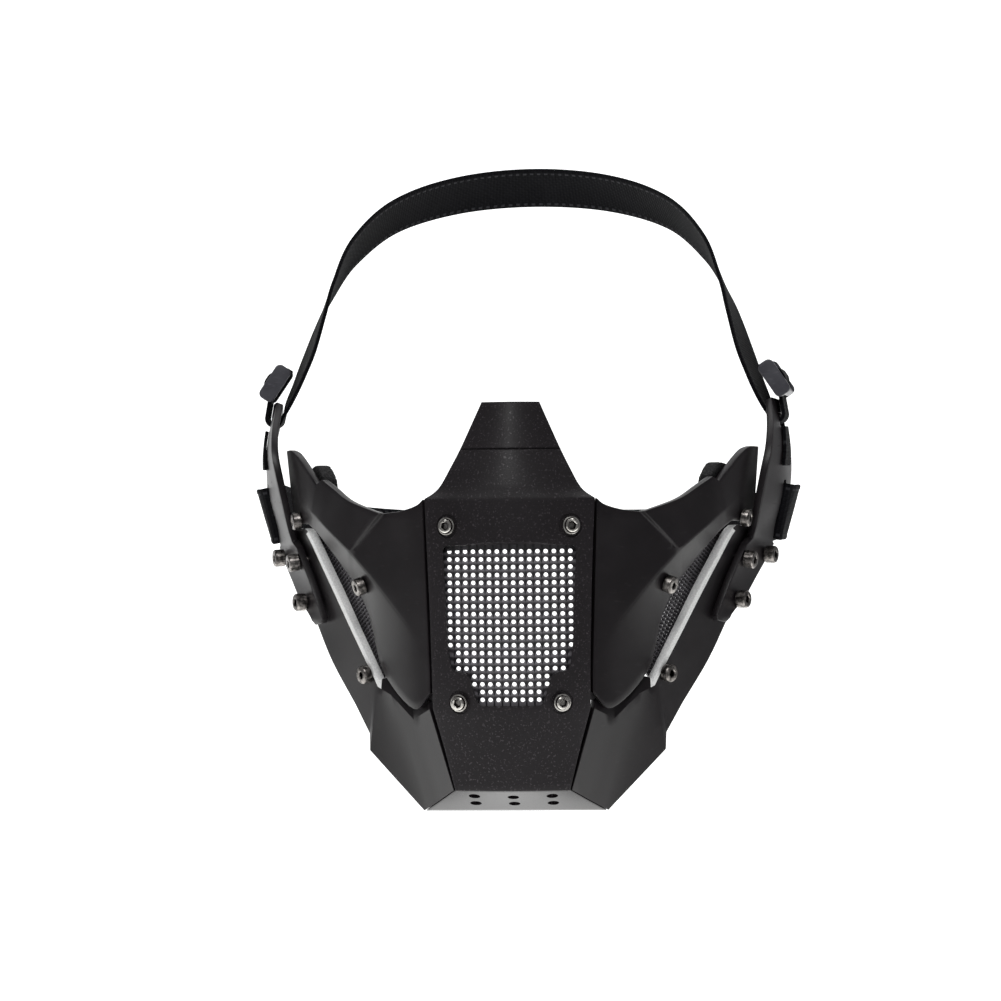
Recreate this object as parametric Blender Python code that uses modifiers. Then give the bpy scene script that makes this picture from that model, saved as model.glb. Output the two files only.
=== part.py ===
"""Mesh half face mask: moulded shells, perforated sheets, screwed side arms and webbing straps.

Metres, +Z up. The wearer looks along -Y, and +X is the right of the mask seen from the front.
The origin is the nose seat: the inner face of the nose bridge on the middle plane.
Tables give points as percentages of the three face sizes below, so they follow those sizes.
"""
import itertools
import math
from collections import namedtuple

import bmesh
import bpy
from mathutils import Matrix, Vector

# Face sizes that every table follows
HALF_WIDTH = 0.100      # middle plane to the outside of a side arm
DEPTH = 0.100           # nose seat back to the strap slots
FACE_DROP = 0.100       # nose seat down to the foot of the mesh window

# Walls and clearances
SHELL_WALL = 0.0025
JAW_WALL = 0.0030
ARM_WALL = 0.0026
SHEET_WALL = 0.0008
FIT_GAP = 0.0004        # between parts that rest on each other
LEAST_SQUARE = 0.62     # least slant at which a wall is measured square

# Line inside the head that the shells thicken towards
CORE_DEPTH = 60
CORE_TOP = 20
CORE_FOOT = -90

# Socket screws
HEAD_RADIUS = 0.0033
HEAD_HEIGHT = 0.0040
SIDE_HEAD_HEIGHT = 0.0032
LOW_HEAD_HEIGHT = 0.0026
HEAD_CHAMFER = 0.0005
SHANK_RADIUS = 0.0015
SHANK_LENGTH = 0.0070
SHANK_CLEARANCE = 0.0004
SOCKET_RADIUS = 0.0016
SOCKET_DEPTH = 0.0016
SEAT_RADIUS = 0.0042
SEAT_SINK = 0.0005
SCREW_SIDES = 10
BORE_SIDES = 8
SEAT_SIDES = 16

# Mesh window and vents
WINDOW_ROUND = 0.0022
WINDOW_FLARE = 0.0013
WINDOW_REACH = 0.020
MITRE_LIMIT = 0.3
SHEET_BORDER = 3.6      # solid border of the window sheet, a width share
SHEET_HEAD = 10.6       # and above the window, where the upper screws pass
SHEET_FILL = (0.965, 0.975)     # shares of the window that the hole field fills
SHEET_SETBACK = 1.16    # the wall measured front to back on the slanted sides
SIDE_SETBACK = (1.35, 1.25)     # the same behind the blade and the jaw
FRONT_COLUMNS = 8
FRONT_ROWS = 10
SIDE_COLUMNS = 2
SIDE_ROWS = 8
SIDE_START = 0.13
SIDE_OVERLAP = 0.0035
HOLE_SHARE = 0.74
VENT_RADIUS = 0.0021
VENT_PITCH = 0.0142
VENT_SIDES = 10
VENT_ROWS = (0.32, 0.64)         # shares of the way back along the underside

# Webbing
UPPER_WIDTH = 0.020
LOWER_WIDTH = 0.022
WEBBING = 0.0015
SLOT_PLAY = 0.0012
SLOT_HEIGHT = 0.0052
SLIDER_BAR = 0.0022
SLIDER_THICK = 0.0026
SLIDER_SLOT = 0.0042
SLIDER_SIDE = 0.0026
SLIDER_RAIL = 0.0064
RAIL_SHIFT = 0.0008
RAIL_ROUND = 0.0014
KEEPER_THICK = 0.0012
PAD_THICK = 0.0045
SOFT_SHARE = 0.3        # edge rounds of foam and keepers as a share of their thickness

# Rows of the centre shell, from the top of the nose bridge to the back of the underside.
# half is a share of HALF_WIDTH, ridge and edge are shares of DEPTH, z of FACE_DROP.
CentreRow = namedtuple("CentreRow", "z half ridge edge")
CENTRE_ROWS = [
    CentreRow(9.0, 10.6, 0.5, 5.0),
    CentreRow(0.5, 14.4, -3.2, 3.4),
    CentreRow(-8.3, 18.4, -7.0, 1.8),
    CentreRow(-15.0, 21.8, -9.6, -0.5),
    CentreRow(-20.8, 24.9, -11.6, -2.2),
    CentreRow(-23.8, 27.4, -12.4, -3.2),
    CentreRow(-26.2, 31.0, -13.0, -4.2),
    CentreRow(-34.0, 30.7, -13.6, -5.2),
    CentreRow(-42.0, 30.3, -14.0, -5.6),
    CentreRow(-67.0, 29.4, -13.6, -5.0),
    CentreRow(-90.0, 28.9, -12.2, -3.6),
    CentreRow(-102.5, 28.8, -11.0, -2.0),
    CentreRow(-117.5, 24.7, -7.6, -1.0),
    CentreRow(-132.5, 21.0, -4.2, 0.0),
    CentreRow(-137.0, 27.2, 7.0, 9.2),
    CentreRow(-141.3, 33.4, 17.4, 18.4),
]
CENTRE_COLUMNS = 12
CENTRE_CURVE = 1.7      # how late the shell turns back towards its sides
WINDOW_ROW = 8
UNDERSIDE_ROW = 13

# Outline of the mesh window, right half, from the top down: shares of HALF_WIDTH and FACE_DROP
WINDOW_HALF = [(24.3, -43.3), (22.7, -80.0), (21.4, -88.6), (15.3, -89.6), (11.6, -101.4)]

# Cheek sections from the panel line back to the arm: eye line, crest and lower edge
CheekSection = namedtuple("CheekSection", "eye crest lower")
CHEEK_INNER = [
    CheekSection((31.8, -3.8, -26.3), (29.7, -2.6, -90.0), (29.7, -2.2, -97.0)),
    CheekSection((34.0, -2.4, -28.3), (35.4, 1.0, -76.6), (36.5, 4.0, -103.0)),
    CheekSection((37.8, -0.4, -29.8), (43.4, 6.0, -66.0), (49.0, 20.0, -90.0)),
    CheekSection((42.2, 2.8, -30.8), (52.4, 11.5, -55.0), (54.5, 23.5, -69.5)),
    CheekSection((46.8, 6.6, -31.3), (60.7, 18.4, -46.0), (60.5, 28.2, -57.0)),
]
CHEEK_WING = [
    CheekSection((48.6, 5.4, -31.3), (61.2, 18.3, -45.4), (61.1, 28.6, -56.2)),
    CheekSection((61.0, 19.5, -26.8), (69.0, 28.0, -38.6), (69.0, 36.0, -46.6)),
    CheekSection((68.2, 29.8, -22.0), (73.4, 34.8, -34.6), (73.6, 41.0, -41.2)),
    CheekSection((73.2, 36.2, -18.6), (76.2, 39.8, -32.0), (76.2, 44.6, -38.4)),
    CheekSection((75.6, 39.0, -20.3), (77.8, 42.6, -30.8), (77.8, 46.6, -37.0)),
    CheekSection((79.6, 44.2, -15.0), (80.4, 48.0, -28.4), (80.4, 50.6, -35.2)),
    CheekSection((84.2, 50.6, -9.4), (83.2, 53.5, -26.4), (82.7, 55.6, -35.3)),
    CheekSection((87.2, 56.0, -7.4), (85.4, 59.5, -25.2), (84.3, 61.4, -35.4)),
    CheekSection((90.0, 67.2, -7.3), (88.7, 70.2, -25.0), (87.6, 71.6, -35.4)),
]
CREST_ROUND = 0.05
UPPER_FACE = (0.36, 0.70)       # columns between the eye line and the crest
LOWER_FACE = 0.6                # and between the crest and the lower edge
INNER_STEPS = 2
WING_START = (len(CHEEK_INNER) - 1) * INNER_STEPS + 1

# Jaw sections from the chin back to the ear: tucked or cut edge, bend, and lower edge
JawSection = namedtuple("JawSection", "top bend lower")
JAW_SECTIONS = [
    JawSection((30.4, 2.4, -98.6), (30.0, -1.2, -102.8), (21.5, 0.4, -132.6)),
    JawSection((37.2, 10.6, -101.6), (36.9, 9.0, -107.0), (27.7, 9.6, -137.0)),
    JawSection((45.8, 20.6, -91.6), (45.6, 15.8, -98.4), (34.0, 18.0, -141.3)),
    JawSection((51.0, 22.0, -93.0), (51.3, 22.7, -95.6), (55.1, 28.8, -119.6)),
    JawSection((52.2, 23.0, -90.6), (52.7, 23.8, -92.6), (55.3, 30.4, -113.4)),
    JawSection((53.8, 24.2, -87.6), (54.6, 25.4, -89.1), (61.2, 36.4, -102.8)),
    JawSection((60.3, 29.4, -75.0), (61.3, 31.0, -76.2), (70.6, 45.5, -87.4)),
    JawSection((67.6, 36.0, -60.6), (68.6, 37.9, -61.9), (77.2, 54.5, -73.6)),
    JawSection((73.7, 42.6, -49.4), (74.6, 44.8, -50.6), (83.0, 65.0, -61.0)),
    JawSection((80.2, 50.4, -38.0), (81.0, 53.1, -39.1), (88.5, 77.0, -48.0)),
    JawSection((84.4, 62.4, -37.2), (85.1, 64.6, -37.7), (91.0, 84.0, -41.8)),
    JawSection((88.4, 74.6, -37.0), (88.8, 75.9, -37.2), (92.4, 88.0, -38.8)),
]
JAW_STEPS = 3

# Sections at which the opening between blade and jaw starts and ends
BLADE_SKIP_COUNT = 2
WING_KEEP_COUNT = 5
EDGE_SKIP_COUNT = 3

# Outer face of a foam pad, front to back: top and low corners
PadSection = namedtuple("PadSection", "top low")
PAD_SECTIONS = [
    PadSection((72.2, 38.5, -18.6), (70.8, 39.9, -25.6)),
    PadSection((74.4, 41.9, -14.6), (72.8, 43.1, -25.8)),
    PadSection((76.4, 44.9, -13.4), (74.6, 46.3, -25.8)),
    PadSection((79.6, 49.7, -14.8), (78.2, 50.9, -24.8)),
]

# Inner face of a side arm: height, then front edge and back edge in plan
ArmRow = namedtuple("ArmRow", "z front back")
ARM_ROWS = [
    ArmRow(-72.4, (72.2, 45.2), (74.8, 49.8)),
    ArmRow(-70.6, (71.5, 43.8), (77.0, 52.2)),
    ArmRow(-64.0, (73.9, 46.6), (82.0, 61.8)),
    ArmRow(-56.0, (77.0, 50.3), (86.4, 71.2)),
    ArmRow(-48.0, (80.6, 55.2), (90.9, 81.8)),
    ArmRow(-43.8, (82.5, 58.4), (93.2, 89.4)),
    ArmRow(-41.2, (84.8, 62.6), (94.4, 92.6)),
    ArmRow(-36.0, (86.3, 62.0), (95.9, 95.4)),
    ArmRow(-26.0, (88.2, 59.6), (98.4, 101.0)),
    ArmRow(-16.0, (90.2, 58.6), (99.4, 104.0)),
    ArmRow(-8.0, (91.9, 61.0), (99.0, 105.6)),
    ArmRow(0.0, (92.6, 67.6), (97.2, 106.4)),
    ArmRow(7.0, (92.4, 75.8), (95.7, 106.2)),
    ArmRow(10.6, (92.3, 80.6), (94.9, 102.6)),
]
ARM_COLUMNS = 4
ARM_BOW = 0.0012
SEATED_ROWS = 8         # rows that lie flat on the jaw

# Screws: fractional section and column on the skin that carries them
FRONT_SCREWS = [(22.4, -36.2), (18.5, -100.2)]
ARM_SCREWS = [(3.85, 0.16), (3.97, 0.86), (1.88, 0.70)]
BLADE_SCREW = (3.35, 0.82)
WING_SCREW = (6.40, 0.95)
JAW_SCREW = (4.90, 0.33)

# Webbing routes, right side, from the arm round the back of the head to the middle plane
UPPER_ROUTE = [
    (91.6, 93.6, 12.0), (88.2, 96.4, 20.5), (84.9, 100.0, 30.0), (80.4, 106.0, 45.0),
    (76.7, 111.0, 56.0), (69.0, 122.0, 72.0), (54.0, 141.0, 87.0),
    (30.0, 157.0, 96.0), (0.0, 163.0, 99.0),
]
UPPER_LEAN = [
    (0.21, 0.98, 0.0), (0.28, 0.95, -0.08),
    (0.33, 0.93, -0.15), (0.26, 0.94, -0.22), (0.16, 0.94, -0.30), (0.03, 0.90, -0.42),
    (0.0, 0.84, -0.54), (0.0, 0.76, -0.65), (0.0, 0.72, -0.69),
]
LOWER_ROUTE = [
    (98.5, 124.0, -31.0), (91.0, 146.0, -34.4), (74.0, 168.0, -38.4),
    (42.0, 184.0, -39.3), (0.0, 190.0, -38.1),
]
LOWER_LEAN = [
    (0.0, 0.08, 0.99), (0.0, 0.26, 0.96), (0.0, 0.52, 0.85), (0.0, 0.70, 0.71),
    (0.0, 0.72, 0.69),
]
# Keeper and strap slots: rows and shares of the arm's outer face
KEEPER_ROWS = (9.2, 9.8, 10.4, 11.0)
KEEPER_COLUMNS = (0.42, 0.56, 0.70)
UPPER_SLOT = (11.37, 0.62)
LOWER_SLOT = (7.45, 0.74)
TAIL_RISE = 0.0236
TAIL_KNEE = 0.0098
TAIL_LEAN = 24
SLIDER_CENTRE = 0.0159
TAIL_GAP = 0.0008
STRAP_GAP = 0.0010
FOLD_END = 0.0125
FOLD_BULGE = 0.0004
FOLD_SPLAY = 0.05
ROUTE_STEPS = 3
BEND_STEPS = 3

# Colours: linear base colour, roughness, metallic
BLACK_TEXTURED = ((0.020, 0.018, 0.019), 0.55, 0.0)
BLACK_SMOOTH = ((0.018, 0.016, 0.018), 0.38, 0.0)
BLACK_STEEL = ((0.030, 0.030, 0.032), 0.40, 0.9)
GUNMETAL = ((0.120, 0.115, 0.110), 0.35, 1.0)
BLACK_WEBBING = ((0.012, 0.012, 0.014), 0.85, 0.0)
GREY_PLASTIC = ((0.060, 0.060, 0.065), 0.35, 0.0)
BLACK_FOAM = ((0.010, 0.010, 0.010), 0.95, 0.0)


def at(x, y, z):
    """A point from its shares of the face sizes."""
    return Vector((HALF_WIDTH * x / 100, DEPTH * y / 100, FACE_DROP * z / 100))


def flip(point, side):
    """The point itself on the right side, its mirror image on the left."""
    return Vector((point.x * side, point.y, point.z))


def towards_core(point):
    """Unit direction from a point of the skin to the line inside the head."""
    foot = FACE_DROP * CORE_FOOT / 100
    top = FACE_DROP * CORE_TOP / 100
    target = Vector((0, DEPTH * CORE_DEPTH / 100, min(max(point.z, foot), top)))
    return (target - point).normalized()


def through(points, steps):
    """Points on a smooth curve through the given ones, steps to each span."""
    if steps < 2:
        return list(points)
    ends = [points[0] * 2 - points[1], *points, points[-1] * 2 - points[-2]]
    curve = []
    for before, start, end, after in zip(ends, ends[1:], ends[2:], ends[3:]):
        for step in range(steps):
            t = step / steps
            pull = (end - before) * t + (before * 2 - start * 5 + end * 4 - after) * t ** 2
            curve.append(start + (pull + (start * 3 - before - end * 3 + after) * t ** 3) / 2)
    curve.append(points[-1].copy())
    return curve


def to_middle(points):
    """Smooth strap line that crosses the middle plane squarely at its last point."""
    beyond = flip(points[-2], -1)
    return through([*points, beyond], ROUTE_STEPS)[:-ROUTE_STEPS]


class Skin:
    """A grid of points, rows along the face and columns across them."""

    def __init__(self, rows, inside=towards_core):
        self.rows = rows
        self.inside = inside

    def point(self, row, column):
        """Point at a fractional row and a share of the way across."""
        low = min(int(row), len(self.rows) - 2)
        across = column * (len(self.rows[0]) - 1)
        left = min(int(across), len(self.rows[0]) - 2)
        ends = []
        for line in self.rows[low:low + 2]:
            ends.append(line[left].lerp(line[left + 1], across - left))
        return ends[0].lerp(ends[1], row - low)

    def normal(self, row, column):
        """Outward unit normal there."""
        step = 0.05
        along = self.point(row + step, column) - self.point(row - step, column)
        across = self.point(row, column + step) - self.point(row, column - step)
        outward = along.cross(across).normalized()
        if outward.dot(self.inside(self.point(row, column))) > 0:
            outward.negate()
        return outward


def paint(obj, look):
    """Give the object a material of its own."""
    colour, roughness, metallic = look
    material = bpy.data.materials.new(obj.name)
    material.use_nodes = True
    shader = material.node_tree.nodes["Principled BSDF"]
    shader.inputs["Base Color"].default_value = (*colour, 1)
    shader.inputs["Roughness"].default_value = roughness
    shader.inputs["Metallic"].default_value = metallic
    obj.data.materials.clear()
    obj.data.materials.append(material)


def add_object(name, bm, collection, look=None, smooth_angle=30):
    """Close a bmesh into a named object, smooth but for its sharp edges."""
    bmesh.ops.recalc_face_normals(bm, faces=bm.faces)
    mesh = bpy.data.meshes.new(name)
    bm.to_mesh(mesh)
    bm.free()
    mesh.shade_smooth()
    mesh.set_sharp_from_angle(angle=math.radians(smooth_angle))
    obj = bpy.data.objects.new(name, mesh)
    collection.objects.link(obj)
    if look:
        paint(obj, look)
    return obj


def grid_faces(bm, rows, skip=()):
    """Quads between neighbouring rows of vertices."""
    for r, (low, high) in enumerate(zip(rows, rows[1:])):
        for c in range(len(low) - 1):
            if (r, c) not in skip:
                bm.faces.new((low[c], low[c + 1], high[c + 1], high[c]))


def vertex_normals(rows):
    """Unit normals of a grid of points, by the two directions at each."""
    normals = []
    last_row = len(rows) - 1
    last_column = len(rows[0]) - 1
    for r in range(len(rows)):
        line = []
        for c in range(len(rows[0])):
            along = rows[min(r + 1, last_row)][c] - rows[max(r - 1, 0)][c]
            across = rows[r][min(c + 1, last_column)] - rows[r][max(c - 1, 0)]
            line.append(along.cross(across).normalized())
        normals.append(line)
    return normals


def thicken(rows, wall, direction):
    """The grid moved by the wall, measured square to the surface."""
    moved = []
    for line, normals in zip(rows, vertex_normals(rows)):
        shifted = []
        for point, normal in zip(line, normals):
            way = direction(point, normal)
            square = max(abs(way.dot(normal)), LEAST_SQUARE)
            shifted.append(point + way * (wall / square))
        moved.append(shifted)
    return moved


def solid_between(outer, inner):
    """Closed bmesh between two grids of the same size."""
    bm = bmesh.new()
    top = [[bm.verts.new(p) for p in line] for line in outer]
    low = [[bm.verts.new(p) for p in line] for line in inner]
    grid_faces(bm, top)
    grid_faces(bm, low)
    rim_top = top[0] + [line[-1] for line in top[1:]] + top[-1][-2::-1]
    rim_top += [line[0] for line in top[-2:0:-1]]
    rim_low = low[0] + [line[-1] for line in low[1:]] + low[-1][-2::-1]
    rim_low += [line[0] for line in low[-2:0:-1]]
    for k, corner in enumerate(rim_top):
        after = (k + 1) % len(rim_top)
        bm.faces.new((corner, rim_top[after], rim_low[after], rim_low[k]))
    return bm


def round_edges(obj, width, segments=1, angle=38):
    """Small round on the hard edges."""
    bevel = obj.modifiers.new("edges", "BEVEL")
    bevel.width = width
    bevel.segments = segments
    bevel.limit_method = "ANGLE"
    bevel.angle_limit = math.radians(angle)
    bevel.use_clamp_overlap = True


def cut(obj, cutter):
    """Take the cutter's shape out of the object."""
    boolean = obj.modifiers.new(cutter.name, "BOOLEAN")
    boolean.operation = "DIFFERENCE"
    boolean.object = cutter
    boolean.solver = "EXACT"


def hide_cutter(cutter):
    """Cutters are guides and aren't part of the object."""
    cutter.hide_render = True
    cutter.display_type = "WIRE"


def frame_at(point, normal, up=Vector((0, 0, 1))):
    """Matrix with Z along the normal and X across the given up direction."""
    z_axis = normal.normalized()
    x_axis = up.cross(z_axis).normalized()
    y_axis = z_axis.cross(x_axis)
    turn = Matrix((x_axis, y_axis, z_axis)).transposed().to_4x4()
    return Matrix.Translation(point) @ turn


def cylinder_cutter(name, frame, radius, low, high, collection, sides=BORE_SIDES):
    """A round cutter along the frame's Z, from low to high."""
    bm = bmesh.new()
    middle = Matrix.Translation((0, 0, (low + high) / 2))
    bmesh.ops.create_cone(bm, cap_ends=True, segments=sides, radius1=radius, radius2=radius,
                          depth=high - low, matrix=frame @ middle)
    cutter = add_object(name, bm, collection)
    hide_cutter(cutter)
    return cutter


def box_cutter(name, frame, size, collection):
    """A box cutter centred on the frame."""
    bm = bmesh.new()
    scale = Matrix.Diagonal((size[0], size[1], size[2], 1))
    bmesh.ops.create_cube(bm, size=1, matrix=frame @ scale)
    cutter = add_object(name, bm, collection)
    hide_cutter(cutter)
    return cutter


def centre_depth(row_depths, x_share):
    """Depth across a centre row: ridge in the middle, edge at the sides."""
    ridge, edge = row_depths
    return ridge + (edge - ridge) * abs(x_share) ** CENTRE_CURVE


def centre_at(z):
    """Half width, ridge and edge of the centre shell at a height share."""
    for high, low in zip(CENTRE_ROWS, CENTRE_ROWS[1:]):
        if high.z >= z >= low.z:
            t = (high.z - z) / (high.z - low.z)
            values = [a + (b - a) * t for a, b in zip(high, low)]
            return CentreRow(*values)
    return CENTRE_ROWS[-1]


def centre_point(x, z):
    """Point on the centre shell's skin at a width share and height share."""
    row = centre_at(z)
    return at(x, centre_depth((row.ridge, row.edge), x / row.half), z)


def centre_skin():
    """Grid of the centre shell's outer face."""
    rows = []
    for row in CENTRE_ROWS:
        line = []
        for column in range(CENTRE_COLUMNS + 1):
            share = 2 * column / CENTRE_COLUMNS - 1
            depth = centre_depth((row.ridge, row.edge), share)
            line.append(at(row.half * share, depth, row.z))
        rows.append(line)
    return Skin(rows)


def offset_outline(points, distance):
    """A closed flat outline moved outward by a distance, mitred."""
    moved = []
    for k, (x, z) in enumerate(points):
        before = Vector((x, z)) - Vector(points[k - 1])
        after = Vector(points[(k + 1) % len(points)]) - Vector((x, z))
        sum_of_normals = Vector((before.y, -before.x)).normalized()
        sum_of_normals += Vector((after.y, -after.x)).normalized()
        reach = distance / max(sum_of_normals.length_squared / 2, MITRE_LIMIT)
        moved.append((x + sum_of_normals.x * reach, z + sum_of_normals.y * reach))
    return moved


def window_outline():
    """Closed window outline in metres, with rounded corners, clockwise from the front."""
    right = [(HALF_WIDTH * x / 100, FACE_DROP * z / 100) for x, z in WINDOW_HALF]
    left = [(-x, z) for x, z in reversed(right)]
    corners = right + left
    rounded = []
    for k, corner in enumerate(corners):
        here = Vector(corner)
        before = Vector(corners[k - 1])
        after = Vector(corners[(k + 1) % len(corners)])
        reach = min(WINDOW_ROUND, (before - here).length / 3, (after - here).length / 3)
        start = here + (before - here).normalized() * reach
        end = here + (after - here).normalized() * reach
        middle = (start + end) / 4 + here / 2
        rounded += [tuple(start), tuple(middle), tuple(end)]
    return rounded


def window_cutter(collection):
    """Prism through the mouth panel, wider towards the front."""
    narrow = window_outline()
    wide = offset_outline(narrow, -WINDOW_FLARE)
    depth_front = DEPTH * CENTRE_ROWS[WINDOW_ROW].ridge / 100 - WINDOW_REACH
    depth_back = DEPTH * CENTRE_ROWS[WINDOW_ROW].edge / 100 + WINDOW_REACH
    flare_back = DEPTH * CENTRE_ROWS[WINDOW_ROW].edge / 100 - SHELL_WALL
    bm = bmesh.new()
    rings = []
    for outline, depth in ((wide, depth_front), (wide, flare_back - SHELL_WALL * 2),
                           (narrow, flare_back), (narrow, depth_back)):
        rings.append([bm.verts.new((x, depth, z)) for x, z in outline])
    for front, back in zip(rings, rings[1:]):
        for k in range(len(front)):
            after = (k + 1) % len(front)
            bm.faces.new((front[k], front[after], back[after], back[k]))
    bm.faces.new(rings[0])
    bm.faces.new(rings[-1])
    cutter = add_object("window_cutter", bm, collection)
    hide_cutter(cutter)
    return cutter


def inward_shell(name, skin, wall, collection, look):
    """A moulding whose outer face is the skin and whose wall grows towards the head."""
    inner = thicken(skin.rows, wall, lambda point, normal: towards_core(point))
    return add_object(name, solid_between(skin.rows, inner), collection, look)


def vent_cutters(collection):
    """Two rows of three round holes through the underside."""
    cutters = []
    front = CENTRE_ROWS[UNDERSIDE_ROW]
    back = CENTRE_ROWS[-1]
    slope = (at(0, back.ridge, back.z) - at(0, front.ridge, front.z)).normalized()
    normal = Vector((1, 0, 0)).cross(slope)
    for row_number, share in enumerate(VENT_ROWS):
        middle = at(0, front.ridge, front.z).lerp(at(0, back.ridge, back.z), share)
        for column in (-1, 0, 1):
            point = middle + Vector((column * VENT_PITCH, 0, 0))
            name = "vent_cutter_%d_%d" % (row_number + 1, column + 2)
            reach = SHELL_WALL * 4
            cutters.append(cylinder_cutter(name, frame_at(point, normal, slope), VENT_RADIUS,
                                           -reach, reach, collection, VENT_SIDES))
    return cutters


def screw_mesh(name, head_height):
    """Turned cap screw with a six-sided socket, its head's seat at the origin."""
    top = FIT_GAP + head_height
    profile = [
        (0, top), (HEAD_RADIUS - HEAD_CHAMFER, top), (HEAD_RADIUS, top - HEAD_CHAMFER),
        (HEAD_RADIUS, FIT_GAP), (SHANK_RADIUS, FIT_GAP), (SHANK_RADIUS, -SHANK_LENGTH),
        (0, -SHANK_LENGTH),
    ]
    bm = bmesh.new()
    corners = [bm.verts.new((radius, 0, height)) for radius, height in profile]
    edges = [bm.edges.new(pair) for pair in zip(corners, corners[1:])]
    bmesh.ops.spin(bm, geom=corners + edges, cent=(0, 0, 0), axis=(0, 0, 1),
                   angle=math.tau, steps=SCREW_SIDES, use_merge=True)
    bmesh.ops.remove_doubles(bm, verts=bm.verts, dist=1e-6)
    turned = add_object(name, bm, bpy.context.scene.collection)
    socket_bm = bmesh.new()
    bmesh.ops.create_cone(socket_bm, cap_ends=True, segments=6, radius1=SOCKET_RADIUS,
                          radius2=SOCKET_RADIUS, depth=SOCKET_DEPTH * 2,
                          matrix=Matrix.Translation((0, 0, top)))
    socket = add_object(name + "_socket", socket_bm, bpy.context.scene.collection)
    cut(turned, socket)
    bpy.context.view_layer.update()
    evaluated = turned.evaluated_get(bpy.context.evaluated_depsgraph_get())
    mesh = bpy.data.meshes.new_from_object(evaluated)
    mesh.name = name
    for guide in (turned, socket):
        bpy.data.objects.remove(guide)
    return mesh


def place_screw(name, mesh, point, normal, collection, look):
    """One screw standing on the point along the normal."""
    screw = bpy.data.objects.new(name, mesh.copy())
    screw.matrix_world = frame_at(point, normal)
    collection.objects.link(screw)
    screw.data.shade_smooth()
    screw.data.set_sharp_from_angle(angle=math.radians(30))
    paint(screw, look)
    return screw


def screw_hole(name, carriers, point, normal, collection, seat=False):
    """Clearance hole for a shank, and a shallow seat under the head."""
    frame = frame_at(point, normal)
    bore = cylinder_cutter(name + "_bore", frame, SHANK_RADIUS + SHANK_CLEARANCE,
                           -SHANK_LENGTH * 1.5, SHANK_LENGTH, collection)
    for carrier in carriers:
        cut(carrier, bore)
    if seat:
        sink = cylinder_cutter(name + "_seat", frame, SEAT_RADIUS, -SEAT_SINK,
                               SHANK_LENGTH, collection, SEAT_SIDES)
        cut(carriers[0], sink)


def perforated(name, lines, open_cells, wall, direction, collection, look):
    """Sheet on a grid of points with a six-sided hole in each open cell."""
    back = thicken(lines, wall, direction)
    bm = bmesh.new()
    sides = []
    for grid in (lines, back):
        sides.append([[bm.verts.new(p) for p in line] for line in grid])
    mids = [{}, {}]

    def edge_middle(layer, a, b):
        key = (min(a, b), max(a, b))
        if key not in mids[layer]:
            first = sides[layer][key[0][0]][key[0][1]].co
            second = sides[layer][key[1][0]][key[1][1]].co
            mids[layer][key] = bm.verts.new((first + second) / 2)
        return mids[layer][key]

    for r in range(len(lines) - 1):
        for c in range(len(lines[0]) - 1):
            rings = []
            for layer in (0, 1):
                grid = sides[layer]
                rim = [grid[r][c], edge_middle(layer, (r, c), (r, c + 1)), grid[r][c + 1],
                       grid[r + 1][c + 1], edge_middle(layer, (r + 1, c), (r + 1, c + 1)),
                       grid[r + 1][c]]
                if (r, c) in open_cells:
                    rings.append((rim, hexagon(bm, rim)))
                else:
                    bm.faces.new(rim)
            if (r, c) in open_cells:
                for rim, hole in rings:
                    for k in range(6):
                        after = (k + 1) % 6
                        bm.faces.new((rim[k], rim[after], hole[after], hole[k]))
                top, low = rings[0][1], rings[1][1]
                for k in range(6):
                    after = (k + 1) % 6
                    bm.faces.new((top[k], top[after], low[after], low[k]))
    close_rim(bm)
    return add_object(name, bm, collection, look)


def hexagon(bm, rim):
    """Six vertices of a hole inside a cell's rim."""
    corners = [rim[k].co for k in (0, 2, 3, 5)]
    middle = sum(corners, Vector()) / 4
    across = ((corners[1] + corners[2]) - (corners[0] + corners[3])) / 2
    along = ((corners[2] + corners[3]) - (corners[0] + corners[1])) / 2
    longer = max(across.length, along.length)
    radius = across.cross(along).length / longer / 2 * HOLE_SHARE
    across.normalize()
    along.normalize()
    hole = []
    for k in range(6):
        turn = math.radians(-150 + 60 * k)
        offset = across * (math.cos(turn) * radius) + along * (math.sin(turn) * radius)
        hole.append(bm.verts.new(middle + offset))
    return hole


def close_rim(bm):
    """Join the two open outer rims of a doubled sheet with a wall."""
    open_edges = [edge for edge in bm.edges if len(edge.link_faces) == 1]
    bmesh.ops.bridge_loops(bm, edges=open_edges)


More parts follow.
